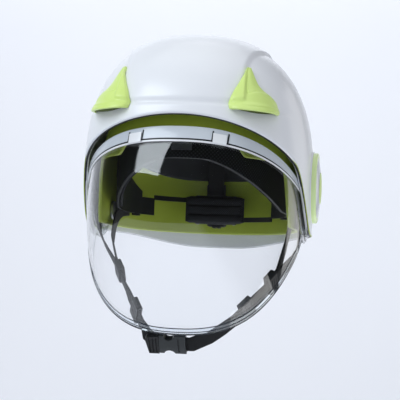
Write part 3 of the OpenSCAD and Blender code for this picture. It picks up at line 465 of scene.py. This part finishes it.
def relief(p):
    """Height of the raised centre panel and of the brow band at a point of the shell."""
    edge = panel_half(p[1])
    side = smooth(edge + 1.6, edge - 1.6, abs(p[0]))
    above = smooth(60.5, 65.5, p[2]) if p[1] < 0 else 1
    fade = smooth(10, 40, p[2])
    brow = smooth(62, 57.5, p[2]) * smooth(-60, -100, p[1])
    return PANEL_STEP * side * above * fade + BROW_STEP * brow


def shrink(size, wall):
    return tuple(v - wall for v in size[:4]) + (size[4],)


def bowl(name, outer, inner, rim, columns, rows, lip, material, node_name, slot, lift=None):
    """Closed bowl between two domes: rows down the outside, a rounded lip, rows up the inside."""
    turns = [360 * c / columns for c in range(columns)]

    def outside(turn, t):
        p = dome(outer, turn, t * drop_at(outer, rim(turn)))
        return p + lift(p) * unit(p) if lift else p

    def inside(turn, t):
        return dome(inner, turn, t * drop_at(inner, rim(turn)))
    rings = [[outside(turn, r / rows) for turn in turns] for r in range(1, rows + 1)]
    low_out, low_in = rings[-1], [inside(turn, 1) for turn in turns]
    for k in range(1, lip):
        a = 180 * k / lip
        ring = []
        for o, i in zip(low_out, low_in):
            sink = 0.45 * np.linalg.norm(o - i) / 2 * sin(a)
            ring.append((o + i) / 2 + (o - i) / 2 * cos(a) - np.array([0, 0, sink]))
        rings.append(ring)
    rings.append(low_in)
    rings += [[inside(turn, r / rows) for turn in turns] for r in range(rows - 1, 0, -1)]
    verts = [outside(0, 0)] + [p for ring in rings for p in ring] + [inside(0, 0)]
    faces = [(0, 1 + c, 1 + (c + 1) % columns) for c in range(columns)]
    faces += ring_faces(len(rings), columns, first=1)
    a = 1 + (len(rings) - 1) * columns
    faces += [(a + c, len(verts) - 1, a + (c + 1) % columns) for c in range(columns)]
    add_mesh(name, verts, faces, material, "helmet", (node_name,), slot)


def revolve_x(profile, centre, columns=96):
    """Profile points (radius, x) turned about the axis along X through centre (y, z)."""
    verts = [(x, centre[0] + r * cos(360 * c / columns), centre[1] + r * sin(360 * c / columns))
             for c in range(columns) for r, x in profile]
    return verts, ring_faces(columns, len(profile), loop_rings=True, loop_points=False)


RIM_COLUMNS, RIM_DROP = 320, 0.3


def rim_strip(name, outline, material, slot, side=1.0):
    """Moulding of one outline, as (outward, up), along the outer shell's rim.
    It thins to its side share past the brow."""
    verts = []
    for c in range(RIM_COLUMNS):
        turn = 360 * c / RIM_COLUMNS
        p = dome_at(SHELL, turn, outer_rim(turn))
        n = unit((p[0], p[1], 0))
        thin = mix(1.0, side, smooth(50, 80, away(turn)))
        verts += [p + n * x + np.array([0, 0, z * thin - RIM_DROP]) for x, z in outline]
    faces = ring_faces(RIM_COLUMNS, len(outline), loop_rings=True)
    add_mesh(name, verts, faces, material, "helmet", (), slot, sharp=40)


# Shells and liner
POD_SEAT = [(29, 104.4), (33.5, 104.4), (35.2, 105.6), (35.4, 107.2), (34.9, 107.85), (29, 107.88)]
RIM_LINE = [(-0.4, 0.5), (0.22, 0.1), (0.22, -0.3), (-0.5, -0.45), (-2.9, -0.3), (-2.9, 0.2)]
# section of the black strip under the rim: painted shade of the gap between the shells
RIM_SHADE_STRIP = [(-0.7, -0.3), (-0.35, -0.7), (-0.8, -1.3), (-2.4, -1.3), (-2.9, -0.7), (-2.6, -0.3)]


def build_shells():
    bowl("outer_shell_skin", SHELL, shrink(SHELL, SHELL_WALL), outer_rim, RIM_COLUMNS, 120, 6,
         WHITE, "outer_shell", "white_shell", lift=relief)
    for name, side in SIDES:
        verts, faces = revolve_x([(r, side * x) for r, x in POD_SEAT], (POD_Y, POD_Z))
        add_mesh("pod_seat_" + name, verts, faces, WHITE, "helmet", (), "white_shell", sharp=30)
    bore = shrink(INNER, INNER_WALL)
    bowl("inner_shell_skin", INNER, bore, inner_rim, 288, 60, 5, LIME_WITH_SHADE, "inner_shell", "lime_shell")
    foam = shrink(bore, LINER_GAP)
    walls = (LINER_SIDE, LINER_END, LINER_END, LINER_CROWN)
    foam_bore = tuple(v - wall for v, wall in zip(foam, walls)) + (LINER_POWER,)
    bowl("liner_foam", foam, foam_bore, liner_rim, 160, 40, 6, FOAM, "impact_liner", "foam")
    # thin lime line that shows under the rim, and a black strip below it: painted shade of the deep gap
    # between the shells
    rim_strip("rim_line", RIM_LINE, LIME_WITH_SHADE, "lime_shell")
    rim_strip("rim_shade_strip", RIM_SHADE_STRIP, BLACK, "black_plastic", 0.4)


build_shells()


# Vent scoops: rows of [height, first turn, last turn] from the tip to the mouth
SCOOP_ROWS = [(97, 34.8, 37), (90, 32.3, 37.7), (85, 30.4, 38.3), (80, 28.7, 39.4), (75.5, 27.1, 41.8),
              (72, 26, 45), (67, 24.7, 47.8), (61, 23.7, 48.7), (56, 24, 48.3)]
SCOOP_EDGE, SCOOP_RISE, SCOOP_SAG = 2.6, 10.5, 3
SCOOP_STEPS, SCOOP_COLUMNS, SOLID_ROWS = 10, 81, 8
# columns, depth and inset of the dark sheet of painted shade in each mouth
SHADE_SHEET_COLUMNS, SHADE_SHEET_DEPTH, SHADE_SHEET_INSET = 41, 3, 5


def spline_rows(rows, steps):
    """Smooth curve through rows of numbers."""
    rows = [np.array(r, float) for r in rows]
    out = []
    n = len(rows)
    for i in range(n - 1):
        a, b, c, d = rows[max(0, i - 1)], rows[i], rows[i + 1], rows[min(n - 1, i + 2)]
        for s in range(steps + (i == n - 2)):
            t = s / steps
            out.append(0.5 * (2 * b + (c - a) * t + (2 * a - 5 * b + 4 * c - d) * t * t
                              + (3 * b - a - 3 * c + d) * t ** 3))
    return out


def groove(distance, width, depth):
    """Depth of a rounded groove at a distance from its middle line."""
    return -depth * math.exp(-(distance / width) ** 2)


def segment_distance(p, a, b):
    """Distance of a point from the line between a and b."""
    p, a, b = (np.array(v, float) for v in (p, a, b))
    t = min(1, max(0, float((p - a) @ (b - a) / ((b - a) @ (b - a)))))
    return float(np.linalg.norm(p - a - t * (b - a)))


def scoop_swell(s, w):
    """Height of the scoop's body at its share s from tip to mouth and w across."""
    return SCOOP_RISE * s ** 0.8 * math.sin(math.pi * w) ** 0.75


def scoop_lift(s, w):
    """The body with the spire's crease, the fold from its foot, a step and the lip line over the mouth."""
    here = (s, w * 0.9)
    fold = groove(segment_distance(here, (0.2, 0.27), (0.64, 0.27)), 0.018, 0.8) * smooth(0.05, 0.2, s)
    fold += groove(segment_distance(here, (0.66, 0.27), (0.56, 0.5)), 0.02, 0.45)
    step = -0.6 * smooth(0.28, 0.36, w) * smooth(0.95, 0.7, w) * smooth(0.62, 0.56, s) * smooth(0.1, 0.3, s)
    lip = groove(s - 0.91, 0.014, 0.35) + 0.3 * smooth(0.91, 0.94, s)
    edge = -1.6 * (smooth(0.04, 0.0, w) + smooth(0.96, 1.0, w))
    return scoop_swell(s, w) + fold + step + lip + edge


def build_scoop(name, side):
    rows = spline_rows(SCOOP_ROWS, SCOOP_STEPS)
    n, m = SCOOP_COLUMNS, len(rows)

    def point(r, w, lift):
        z, t0, t1 = rows[r]
        sag = SCOOP_SAG * r / (m - 1) * math.sin(math.pi * w)
        p = dome_at(SHELL, mix(t0, t1, w), z - sag)
        q = p + (lift + relief(p) + 0.2) * unit((p[0], p[1], 0.35 * p[2]))
        return (side * q[0], q[1], q[2])

    def hollow(r, w):
        inner = min(1, max(0, (w - 0.5) * 1.12 + 0.5))
        return 0 if r < SOLID_ROWS else max(0, 0.4 + scoop_swell(r / (m - 1), inner))
    across = [i / (n - 1) for i in range(n)]
    verts = [point(r, w, SCOOP_EDGE + scoop_lift(r / (m - 1), w)) for r in range(m) for w in across]
    verts += [point(r, w, hollow(r, w)) for r in range(m) for w in across]
    add_mesh(name + "_scoop_skin", verts, sheet_faces(m, n), LIME_BRIGHT, "helmet",
             (name + "_vent_scoop",), "lime_shell", sharp=50)
    # dark olive sheet inside the mouth: painted shade of the hollow under the scoop
    across = [0.06 + 0.88 * i / (SHADE_SHEET_COLUMNS - 1) for i in range(SHADE_SHEET_COLUMNS)]
    verts = [point(m - SHADE_SHEET_INSET, w, 0.05) for w in across]
    verts += [point(m - SHADE_SHEET_INSET, w, max(0.3, 0.1 + scoop_swell(1, w))) for w in across]
    verts += [(x, y, z + SHADE_SHEET_DEPTH) for x, y, z in verts]
    add_mesh(name + "_scoop_shade_sheet", verts, sheet_faces(2, SHADE_SHEET_COLUMNS), SCOOP_SHADE_SHEET, "helmet", (), "foam",
             sharp=40)


for name, side in SIDES:
    build_scoop(name, side)


# Visor: section points turned about the pivot axis between its top and chin edges
BORE_RADIUS, EAR_RADIUS, EAR_EDGE = 13.1, 25, 0.4
LIP_ANGLE = 3.0
SEAM_ANGLES = ((0.0, 0.12), (1.25, 1.5), (2.92, 3.04))


def section(r, w, steps):
    """The visor's section from one side to the other, as (radius, x), of radius r and half width w."""
    return [(r * math.sin(math.pi * i / steps) ** (2 / VISOR_POWER),
             w * signed_power(math.cos(math.pi * i / steps), 2 / VISOR_POWER)) for i in range(steps + 1)]


def chin_angle(r):
    return -VISOR_CHIN + CHIN_RISE * (1 - smooth(60, VISOR_RADIUS, r))


def past_chin(angle):
    """Angle of a line that keeps its distance to the chin edge."""
    return lambda r: chin_angle(r) + angle * VISOR_RADIUS / max(r, 70)


def under_top(angle):
    return lambda r: VISOR_TOP - angle


def turned(r, x, angle):
    """Point of a section, turned up about the pivot axis."""
    return (x, PIVOT_Y - r * cos(angle), PIVOT_Z + r * sin(angle))


def arc_sheet(name, outer, inner, rows, low, high, material, nodes, slot, cut, steps=160):
    """Closed sheet between two sections, which outgrow the visor's by (radius, half width),
    over a span of angles that may change with the radius. It starts at the radius cut."""
    outside, inside = (section(VISOR_RADIUS + r, VISOR_HALF + w, steps) for r, w in (outer, inner))
    keep = [i for i in range(steps + 1) if outside[i][0] > cut]
    verts = [turned(r, x, mix(high(r), low(r), j / (rows - 1)))
             for face in (outside, inside) for r, x in [face[i] for i in keep] for j in range(rows)]
    add_mesh(name, verts, sheet_faces(len(keep), rows), material, "visor", nodes, slot, sharp=40)


def build_visor():
    def low(r):
        return chin_angle(r) if r > 37.5 else mix(-96, -41, smooth(22, 37.5, r))

    def high(r):
        return VISOR_TOP if r > 32 else mix(80, VISOR_TOP, smooth(22, 32, r))
    arc_sheet("visor_sheet", (0, 0), (-VISOR_WALL, -VISOR_WALL), 71, low, high, CLEAR,
              ("visor",), "clear_visor", 13.5, steps=120)
    for name, side in SIDES:
        w, i, edge = side * (VISOR_HALF - 0.02), side * (VISOR_HALF - VISOR_WALL), side * EAR_EDGE
        profile = [(BORE_RADIUS, i), (EAR_RADIUS - EAR_EDGE, i), (EAR_RADIUS, i + edge),
                   (EAR_RADIUS, w - edge), (EAR_RADIUS - EAR_EDGE, w), (BORE_RADIUS, w), (BORE_RADIUS, i)]
        verts, faces = revolve_x(profile, (PIVOT_Y, PIVOT_Z), 72)
        add_mesh("visor_ear_" + name, verts, faces, CLEAR_EDGE, "visor", (), "clear_visor", sharp=35)
    # thicker lip along the chin edge, with dark seams
    arc_sheet("visor_lip", (0.7, 0.2), (0.04, 0.03), 9, chin_angle, past_chin(LIP_ANGLE), CLEAR_EDGE,
              (), "clear_visor", 52)
    for k, (start, end) in enumerate(SEAM_ANGLES):
        arc_sheet("visor_seam_%d" % k, (0.95, 0.35), (0.5, 0.2), 2, past_chin(start), past_chin(end), SMOKE,
                  (), "clear_visor", 60)
    # trim band along the top edge, with a dark seal and a pale lip under it
    arc_sheet("top_band", (1.5, 1.5), (0.05, 0.05), 11, under_top(BAND_ANGLE), under_top(0), SILVER,
              ("visor_top_band",), "trim", 50)
    for name, low_by, high_by, material, slot in (("band_seal", 0.55, 0.0, BLACK, "black_plastic"),
                                                  ("band_lip", 1.05, 0.55, CLIP_WHITE, "trim")):
        arc_sheet(name, (1.2, 1.2), (0.05, 0.05), 3, under_top(BAND_ANGLE + low_by),
                  under_top(BAND_ANGLE + high_by), material, (), slot, 50)


build_visor()


# Black patches on the trim band on each side of its clips: painted shade of the slots there
CLIP_X, CLIP_WIDTH = 37.0, 11.5
SLOT_HALF, SLOT_GAP, SLOT_LEAN = 0.55, 0.75, 0.5


def clip_slot_shades():
    low, high = VISOR_TOP - BAND_ANGLE - 0.6, VISOR_TOP - BAND_ANGLE + 3.3
    for k, x in enumerate([s * CLIP_X + e * (CLIP_WIDTH / 2 + SLOT_GAP) for s in (-1, 1) for e in (-1, 1)]):
        verts = []
        for grow in (1.52, 2.0):
            for angle, lean in ((low, 0), (high, SLOT_LEAN)):
                for w in (-SLOT_HALF, SLOT_HALF):
                    at = x + w + lean
                    share = 1 - (abs(at) / (VISOR_HALF + grow)) ** VISOR_POWER
                    verts.append(turned((VISOR_RADIUS + grow) * share ** (1 / VISOR_POWER), at, angle))
        add_mesh("clip_slot_%d" % k, verts, sheet_faces(2, 2), BLACK, "visor", (), "black_plastic", sharp=20)


clip_slot_shades()


# Webbing strips
JAW_Y, JAW_Z = -20.0, -45.0
WEB_THICK, WEB_WIDTH, REAR_WIDTH, CRADLE_WIDTH = 1.6, 15.0, 14, 18
ANCHOR_PLATE = 1.4
STRAP_X = INNER[0] + 0.05 + ANCHOR_PLATE + WEB_THICK / 2
ANCHOR_Y, ANCHOR_TOP = -24, -19
REAR_START, REAR_TURN = (86.6, 44, -6), 197
# from the ear to the keeper loop, from there to the bend, and on to the buckle
LEFT_FRONT = [(STRAP_X, -21, -46), (94.8, -18.5, -58), (90, -22, -69)]
RIGHT_FRONT = [(-95, -24.5, -46), (-89.5, -27.5, -56), (-82, -32, -66)]
REAR = [(86.9, 33, -21), (87.4, 20, -26), (87.3, 8, -34), (86.1, -3, -43), (84.7, -12, -54)]
LEFT_KEEPER, LEFT_BEND, LEFT_END = (75.5, -42.5, -89), (66, -54.5, -102), (46, -69, -124.5)
LEFT_CHIN = [(37, -73.2, -132), (26, -77.2, -140)]
RIGHT_KEEPER, RIGHT_BEND, RIGHT_END = (-68.5, -42, -84), (-53, -58, -106.5), (-36, -74.5, -131)
LEFT_ALONG = unit(np.subtract(LEFT_BEND, LEFT_KEEPER))
RIGHT_ALONG = unit(np.subtract(RIGHT_BEND, RIGHT_KEEPER))
UNDER_LAYER = WEB_THICK + 0.15
BUCKLE = np.array([-10.0, -80.0, -147.0])
BUCKLE_LEAN = 35
BUCKLE_OUT = np.array([0, -cos(BUCKLE_LEAN), -sin(BUCKLE_LEAN)])
BUCKLE_UP = np.array([0, -sin(BUCKLE_LEAN), cos(BUCKLE_LEAN)])
# tape's section as shares of half its width and thickness: 15 points over its top and 15 back below,
# with thin rounded selvedges
TAPE = [(k / 14 * 2 - 1, 1.0 if 1 <= k <= 13 else 0.35) for k in range(15)]
TAPE += [(t, -h) for t, h in reversed(TAPE)]


def outward(p):
    """Direction outward at a point on a strap."""
    z = p[2] if p[2] > JAW_Z else mix(JAW_Z, p[2], 0.55)
    return unit(np.array(p, float) - np.array([0, JAW_Y, z]))


def run(points, n=None):
    """Smooth path through points, as (point, outward) pairs."""
    return [(p, n if n is not None else outward(p)) for p in spline_rows(points, 8)]


def straight(a, b, n=None):
    """Straight stretch of a path, with close points at both ends that keep it flat."""
    a, b = np.array(a, float), np.array(b, float)
    d = unit(b - a) * 2.5
    n = outward((a + b) / 2) if n is None else n
    return [(p, n) for p in (a, a + d, mix(a, b, 0.35), mix(a, b, 0.65), b - d, b)]


def strip(name, pairs, width, node_name):
    """Flat tape along a path of (point, outward) pairs, with UV in millimetres."""
    verts, uv = [], []
    n, m = len(pairs), len(TAPE)
    length = 0.0
    for i, (p, normal) in enumerate(pairs):
        a, b = np.array(pairs[max(0, i - 1)][0]), np.array(pairs[min(n - 1, i + 1)][0])
        if i:
            length += float(np.linalg.norm(np.array(p) - np.array(pairs[i - 1][0])))
        tangent = unit(b - a)
        across = unit(np.cross(tangent, normal))
        out = np.cross(across, tangent)
        for t, h in TAPE:
            verts.append(np.array(p) + across * t * width / 2 + out * h * WEB_THICK / 2)
            uv.append((length, t * width / 2))
    faces = ring_faces(n, m)
    faces.append(tuple(range(m)))
    faces.append(tuple(reversed([(n - 1) * m + k for k in range(m)])))
    add_mesh(name, verts, faces, WEB, "helmet", (node_name,), "webbing", sharp=60, uv=uv)


def build_straps():
    left, right = np.array(LEFT_KEEPER, float), np.array(RIGHT_KEEPER, float)
    for name, side, route, keeper, along in (("left", 1, LEFT_FRONT, left, LEFT_ALONG),
                                             ("right", -1, RIGHT_FRONT, right, RIGHT_ALONG)):
        top = [((side * STRAP_X, ANCHOR_Y, ANCHOR_TOP - d), (side, 0, 0)) for d in (11, 20)]
        strip(name + "_front_web", top + run(route) + straight(keeper - 11 * along, keeper, outward(keeper)),
              WEB_WIDTH, name + "_front_strap")
    n = np.array([cos(REAR_TURN), sin(REAR_TURN), 0])
    start = np.array(REAR_START) + (ANCHOR_PLATE + WEB_THICK / 2 + 0.05) * n
    for name, side, keeper, along in (("left", 1, left, LEFT_ALONG), ("right", -1, right, RIGHT_ALONG)):
        flip = np.array([side, 1, 1])
        top = [((start + (0, 0, d)) * flip, -n * flip) for d in (-10.5, -14)]
        out = outward(keeper)
        low = straight(keeper - 12 * along - out * UNDER_LAYER, keeper + 5 * along - out * UNDER_LAYER, out)
        strip(name + "_rear_web", top + run([(x * side, y, z) for x, y, z in REAR], (side, 0, 0)) + low,
              REAR_WIDTH, name + "_rear_strap")
    eye = BUCKLE + (15.5, 0, 0)
    strip("left_chin_web", straight(left + 0.05 * LEFT_ALONG, left + 12 * LEFT_ALONG, outward(left))
          + straight(LEFT_BEND, LEFT_END) + run(LEFT_CHIN)
          + straight(eye + (5, 0, 0), eye - (5, 0, 0), BUCKLE_OUT),
          WEB_WIDTH, "left_chin_strap")
    tail = BUCKLE + (-14.5, 0, 0) - BUCKLE_OUT * (3.6 + WEB_THICK / 2)
    along = unit(0.65 * np.array([1, 0, 0]) - 0.76 * BUCKLE_UP)
    strip("right_chin_web", straight(right + 0.05 * RIGHT_ALONG, right + 20 * RIGHT_ALONG, outward(right))
          + straight(RIGHT_BEND, RIGHT_END) + straight(tail - 9 * along, tail, BUCKLE_OUT),
          WEB_WIDTH, "right_chin_strap")


build_straps()


# Headband cover, pads and crown cradle
BAND_HALF, BAND_Y, BAND_FRONT = 82.0, 22.0, 129.0
PAD_THICK, SEW_WIDTH = 4.2, 1.6
NAPE_Z, NAPE_HALF, NAPE_SPAN = -14.0, 14.95, 23
CROWN_Z, CROWN_Y, CROWN_RADIUS = 89.8, 6, 29.8
LOW_LINE = [(-120, 17), (-104, 16), (-84, 5), (-55, -8), (-30, -17), (-12, -22), (70, NAPE_Z - 9)]
HIGH_LINE = [(-120, 44), (-84, 39), (-30, 31), (20, 24), (70, NAPE_Z + 9)]


def along_line(line, y):
    """Height of a line of (y, z) points at y."""
    return float(np.interp(y, [p[0] for p in line], [p[1] for p in line]))


def band_low(y):
    return along_line(LOW_LINE, y)


def band_high(y):
    return along_line(HIGH_LINE, y)


def band_point(turn, grow):
    """Place on the headband's outline at a turn from the front, grown outward."""
    a = BAND_HALF + grow
    b = BAND_FRONT + grow if abs(turn) < 90 else a
    return a * sin(turn), BAND_Y - b * cos(turn)


def arc_pad(name, span, inner, outer, low, high, edge, material, node_name, crown=0.0, channels=()):
    """Closed pad along the headband: it thins to its edges and is sewn down along channels."""
    columns, rows = 140, 24
    middle, half = (inner + outer) / 2, (outer - inner) / 2
    verts, uv, arc = [], [], []
    length = 0.0
    for c in range(columns + 1):
        turn = mix(-span, span, c / columns)
        if c:
            a, b = band_point(turn, inner), band_point(mix(-span, span, (c - 1) / columns), inner)
            length += math.hypot(a[0] - b[0], a[1] - b[1])
        arc.append((turn, length))
    for side in (-1, 1):
        for c, (turn, at) in enumerate(arc):
            y = band_point(turn, middle)[1]
            sew = max([math.exp(-((at - length / 2 - x) / SEW_WIDTH) ** 2) for x in channels] + [0.0])
            for r in range(rows + 1):
                v, u = r / rows, c / columns
                rim = min(1.0, min(v, 1 - v) / edge, min(u, 1 - u) / (edge * 0.25))
                round_off = math.sqrt(max(0.0, 1 - (1 - rim) ** 2))
                depth = half * (0.25 + 0.75 * round_off) + crown * round_off * math.sin(math.pi * v)
                depth *= 1 - 0.55 * sew
                # it swells inward and lies flat on the band
                grow = middle + side * (depth if side < 0 else min(depth, half))
                z = mix(low(y), high(y), v)
                verts.append((*band_point(turn, grow), z))
                uv.append((at, z))
    return add_mesh(name, verts, sheet_faces(columns + 1, rows + 1), material, "helmet", (node_name,), "mesh",
                    sharp=70, uv=uv)


def cushion(name, point, nu, nv, node_name):
    """Closed cushion from a function of (u, v, face), with face 0 at the back and 1 at the front."""
    pairs = [point(i / nu, j / nv, face) for face in (0, 1) for i in range(nu + 1) for j in range(nv + 1)]
    ob = add_mesh(name, [p for p, t in pairs], sheet_faces(nu + 1, nv + 1), PAD, "helmet", (node_name,),
                  "mesh", sharp=75, uv=[t for p, t in pairs])


def nape_cushion():
    low, high = NAPE_Z - NAPE_HALF + 0.5, NAPE_Z + NAPE_HALF - 1

    def point(u, v, face):
        turn = 180 + mix(-NAPE_SPAN, NAPE_SPAN, u)
        rim = min(1.0, min(u, 1 - u) / 0.1, min(v, 1 - v) / 0.16)
        swell = math.sqrt(max(0.0, 1 - (1 - rim) ** 2))
        sew = max(math.exp(-((v - x) / 0.035) ** 2) for x in (0.33, 0.67))
        corner = 1.5 * (1 - min(1.0, min(u, 1 - u) / 0.08)) * (abs(v - 0.5) * 2) ** 3
        grow = -0.5 if face == 0 else -2.0 - 4.8 * swell * (1 - 0.5 * sew)
        z = mix(low + corner, high - corner, v)
        return (*band_point(turn, grow), z), (BAND_HALF * math.radians(turn), z)
    cushion("nape_cushion", point, 60, 30, "nape_pad")


def crown_cushion():
    top = CROWN_Z - WEB_THICK / 2 - 0.2

    def point(u, v, face):
        a, r = 360 * u, CROWN_RADIUS * v
        swell = math.sqrt(max(0.0, 1 - max(0.0, (v - 0.72) / 0.28) ** 2))
        sew = math.exp(-((v - 0.55) / 0.05) ** 2)
        radial = math.exp(-(((a + 30) % 60 - 30) / 2.5) ** 2) * smooth(0.12, 0.3, v) * smooth(1.0, 0.6, v)
        z = top - 0.9 - 3.6 * swell * (1 - 0.4 * max(sew, radial)) if face else top - 0.2 - 0.5 * (1 - swell)
        return (r * cos(a), CROWN_Y + r * sin(a), z), (r * cos(a), r * sin(a))
    cushion("crown_cushion", point, 72, 20, "crown_pad")


def cradle_straps():
    half_width = CRADLE_WIDTH / 2
    front = BAND_Y - (BAND_FRONT - PAD_THICK) * math.sqrt(1 - (half_width / (BAND_HALF - PAD_THICK)) ** 2)
    tab_y = BAND_Y + math.sqrt((BAND_HALF - 0.2) ** 2 - half_width ** 2) - WEB_THICK / 2 - 0.5
    arch = [(front + WEB_THICK / 2 + 0.2, 32), (front + WEB_THICK / 2 + 0.35, 44), (-94, CROWN_Z - 29.8),
            (-66, CROWN_Z - 9.8), (-30, CROWN_Z + 0.2), (6, CROWN_Z + 2.2), (44, CROWN_Z - 1.8),
            (76, CROWN_Z - 19.8), (94, 40), (tab_y, NAPE_Z + 12 + NAPE_HALF), (tab_y, NAPE_Z + 15.95)]
    cross_half = BAND_HALF - 0.8 - WEB_THICK / 2
    half = [(p * cross_half, z) for p, z in ((1, 20), (0.99, 30), (0.93, 48), (0.75, CROWN_Z - 19.8),
                                             (0.52, CROWN_Z - 6.8), (0.37, CROWN_Z - 0.1), (0, CROWN_Z))]
    cross = half + [(-x, z) for x, z in reversed(half[:-1])]
    for name, flat, node_name, sideways in (("long_web", arch, "crown_strap_long", False),
                                            ("cross_web", cross, "crown_strap_cross", True)):
        line = spline_rows(flat, 10)
        pairs = []
        for i, p in enumerate(line):
            t = unit(line[min(len(line) - 1, i + 1)] - line[max(0, i - 1)])
            pairs.append(((p[0], CROWN_Y, p[1]), (-t[1], 0, t[0])) if sideways
                         else ((0, p[0], p[1]), (0, -t[1], t[0])))
        strip(name, pairs, CRADLE_WIDTH, node_name)


def build_pads():
    arc_pad("band_cover_mesh", 80, 1.9, 3.0, band_low, band_high, 0.06, MESH, "headband_cover")
    brow = arc_pad("brow_cushion", 76, -4.1, -0.15, lambda y: band_low(y) + 1.2, lambda y: band_high(y) + 0.8,
                   0.2, PAD, "brow_pad", crown=0.9, channels=range(-96, 97, 32))
    nape_cushion()
    crown_cushion()
    cradle_straps()


build_pads()


# Hard small pieces: the CAD shapes with softened edges
for name, material, body, slot, width in (
        ("visor_clips", CLIP_WHITE, "visor", "trim", 0.4),
        ("left_anchor", BLACK, "helmet", "black_plastic", 0.3),
        ("right_anchor", BLACK, "helmet", "black_plastic", 0.3),
        ("rear_anchors", BLACK, "helmet", "black_plastic", 0.3),
        ("left_keeper_loop", BLACK, "helmet", "black_plastic", 0.3),
        ("right_keeper_loop", BLACK, "helmet", "black_plastic", 0.3),
        ("left_adjuster", BLACK, "left_slider", "black_plastic", 0.3),
        ("right_adjuster", BLACK, "right_slider", "black_plastic", 0.3),
        ("buckle_socket", SOCKET, "helmet", "black_plastic", 0.45),
        ("buckle_clip", JET, "clip", "black_plastic", 0.4),
        ("cradle_clips", GREY, "helmet", "grey_plastic", 0.3),
        ("headband", BLACK, "helmet", "black_plastic", 0.3),
        ("left_band_arm", BLACK, "left_arm", "black_plastic", 0.2),
        ("right_band_arm", BLACK, "right_arm", "black_plastic", 0.2),
        ("nape_housing", GREY, "helmet", "grey_plastic", 0.3),
        ("nape_cover", GREY, "helmet", "grey_plastic", 0.3)):
    dress(name + "_soft", name, material, body, slot, width)
# The rest of the CAD shows as it is
for names, material in ((("visor_hubs", "friction_washers"), NYLON),
                        (("left_pod_base", "right_pod_base"), LIME_PALE_WITH_REFLECTION),
                        (("left_pod_cap", "right_pod_cap"), CAP_WHITE),
                        (("left_pod_insert", "right_pod_insert"), LIME_BRIGHT),
                        (("pivot_pins", "pod_screws", "nape_screws"), STEEL),
                        (("nape_dial",), BLACK),
                        (("nape_pinion",), GREY)):
    for name in names:
        paint(name, material)


# Floor, backdrop and light, in metres
FLOOR_Z, BEND_Y, BEND_RADIUS, WALL_TOP = -0.62, 1.2, 1.4, 4.5
FLOOR_FRONT, FLOOR_LEFT, FLOOR_RIGHT = -3.0, -5.0, 2.5
CARD_START, CARD_FULL = 0.45, 0.9
ROOM_LIGHT, DARK_ROOM, BRIGHT_ROOM = 0.62, 0.03, 0.9
# each light's name, place, target, size, power and colour
LIGHTS = (("key", (-0.7, -1.0, 0.82), (0, -0.08, 0), (0.76, 0.8), 8.3, (0.86, 0.94, 1.0)),
          ("low", (0.35, 0.25, -0.45), (0.08, -0.02, 0), (0.5, 0.5), 0.85, (1, 1, 1)),
          ("side", (0.87, 1.23, 0.15), (0.095, -0.06, 0), (0.58, 1.3), 1.7, (1, 1, 1)),
          ("top", (0.1, 0.2, 1.5), (0, 0, 0), (1.4, 1.4), 3, (1, 1, 1)),
          ("back", (-0.45, 1.6, 1.6), (-0.45, 3.4, 0.3), (3.0, 1.5), 17, (0.97, 0.98, 1.0)))


def build_backdrop():
    profile = [(FLOOR_FRONT, FLOOR_Z), (BEND_Y, FLOOR_Z)]
    profile += [(BEND_Y + BEND_RADIUS * sin(a), FLOOR_Z + BEND_RADIUS * (1 - cos(a)))
                for a in range(6, 91, 6)]
    profile.append((BEND_Y + BEND_RADIUS, WALL_TOP))
    verts = [(x, y, z) for x in (FLOOR_LEFT, FLOOR_RIGHT) for y, z in profile]
    me = bpy.data.meshes.new("backdrop")
    me.from_pydata(verts, [], ring_faces(2, len(profile), loop_points=False))
    me.shade_smooth()
    ob = add_object("backdrop", me)
    m, nt, b = new_material("paper")
    coord = vary_colour(nt, b, (0.855, 0.875, 0.92), (0.875, 0.895, 0.94), 0.6)
    vary_roughness(nt, b, coord, 0.85, 0.95, 5)
    # the paper to the right is dark in what shines back, as if a black card stood there
    split = node(nt, "ShaderNodeSeparateXYZ")
    nt.links.new(coord.outputs["Object"], split.inputs["Vector"])
    path = node(nt, "ShaderNodeLightPath")
    right = map_range(nt, split.outputs["X"], from_min=CARD_START, from_max=CARD_FULL)
    share = maths(nt, "MULTIPLY", right, path.outputs["Glossy Depth"], clamp=True)
    card = node(nt, "ShaderNodeBsdfDiffuse", Color=(0.03, 0.03, 0.03, 1))
    mix_shaders(nt, share, b.outputs[0], card.outputs[0])
    me.materials.append(m)


def build_world():
    """Even light all round, but what shines back from the front is a dark room.
    A look straight through the shield isn't a shine."""
    world = bpy.data.worlds.new("studio")
    world.use_nodes = True
    nt = world.node_tree
    sky = nt.nodes["Background"]
    sky.inputs["Color"].default_value = (0.93, 0.95, 1.0, 1)
    coord = node(nt, "ShaderNodeTexCoord")
    toward = vectors(nt, "DOT_PRODUCT", coord.outputs["Generated"], (-0.2, 0.95, 0.0)).outputs["Value"]
    room = map_range(nt, toward, from_min=0.53, from_max=0.76, to_min=DARK_ROOM, to_max=BRIGHT_ROOM)
    path = node(nt, "ShaderNodeLightPath")
    bounces = maths(nt, "ADD", path.outputs["Diffuse Depth"], path.outputs["Glossy Depth"], clamp=True)
    shine = maths(nt, "MULTIPLY", path.outputs["Is Glossy Ray"], bounces)
    choose = node(nt, "ShaderNodeMix", data_type="FLOAT")
    choose.inputs["A"].default_value = ROOM_LIGHT
    nt.links.new(shine, choose.inputs["Factor"])
    nt.links.new(room, choose.inputs["B"])
    nt.links.new(choose.outputs["Result"], sky.inputs["Strength"])
    bpy.context.scene.world = world


def build_lights():
    for name, place, target, size, power, colour in LIGHTS:
        data = bpy.data.lights.new(name, "AREA")
        data.shape, data.size, data.size_y = "RECTANGLE", size[0], size[1]
        data.energy, data.color = power, colour
        ob = add_object(name, data)
        ob.location = place
        ob.rotation_mode = "QUATERNION"
        ob.rotation_quaternion = (Vector(target) - Vector(place)).to_track_quat("-Z", "Y")


build_backdrop()
build_world()
build_lights()
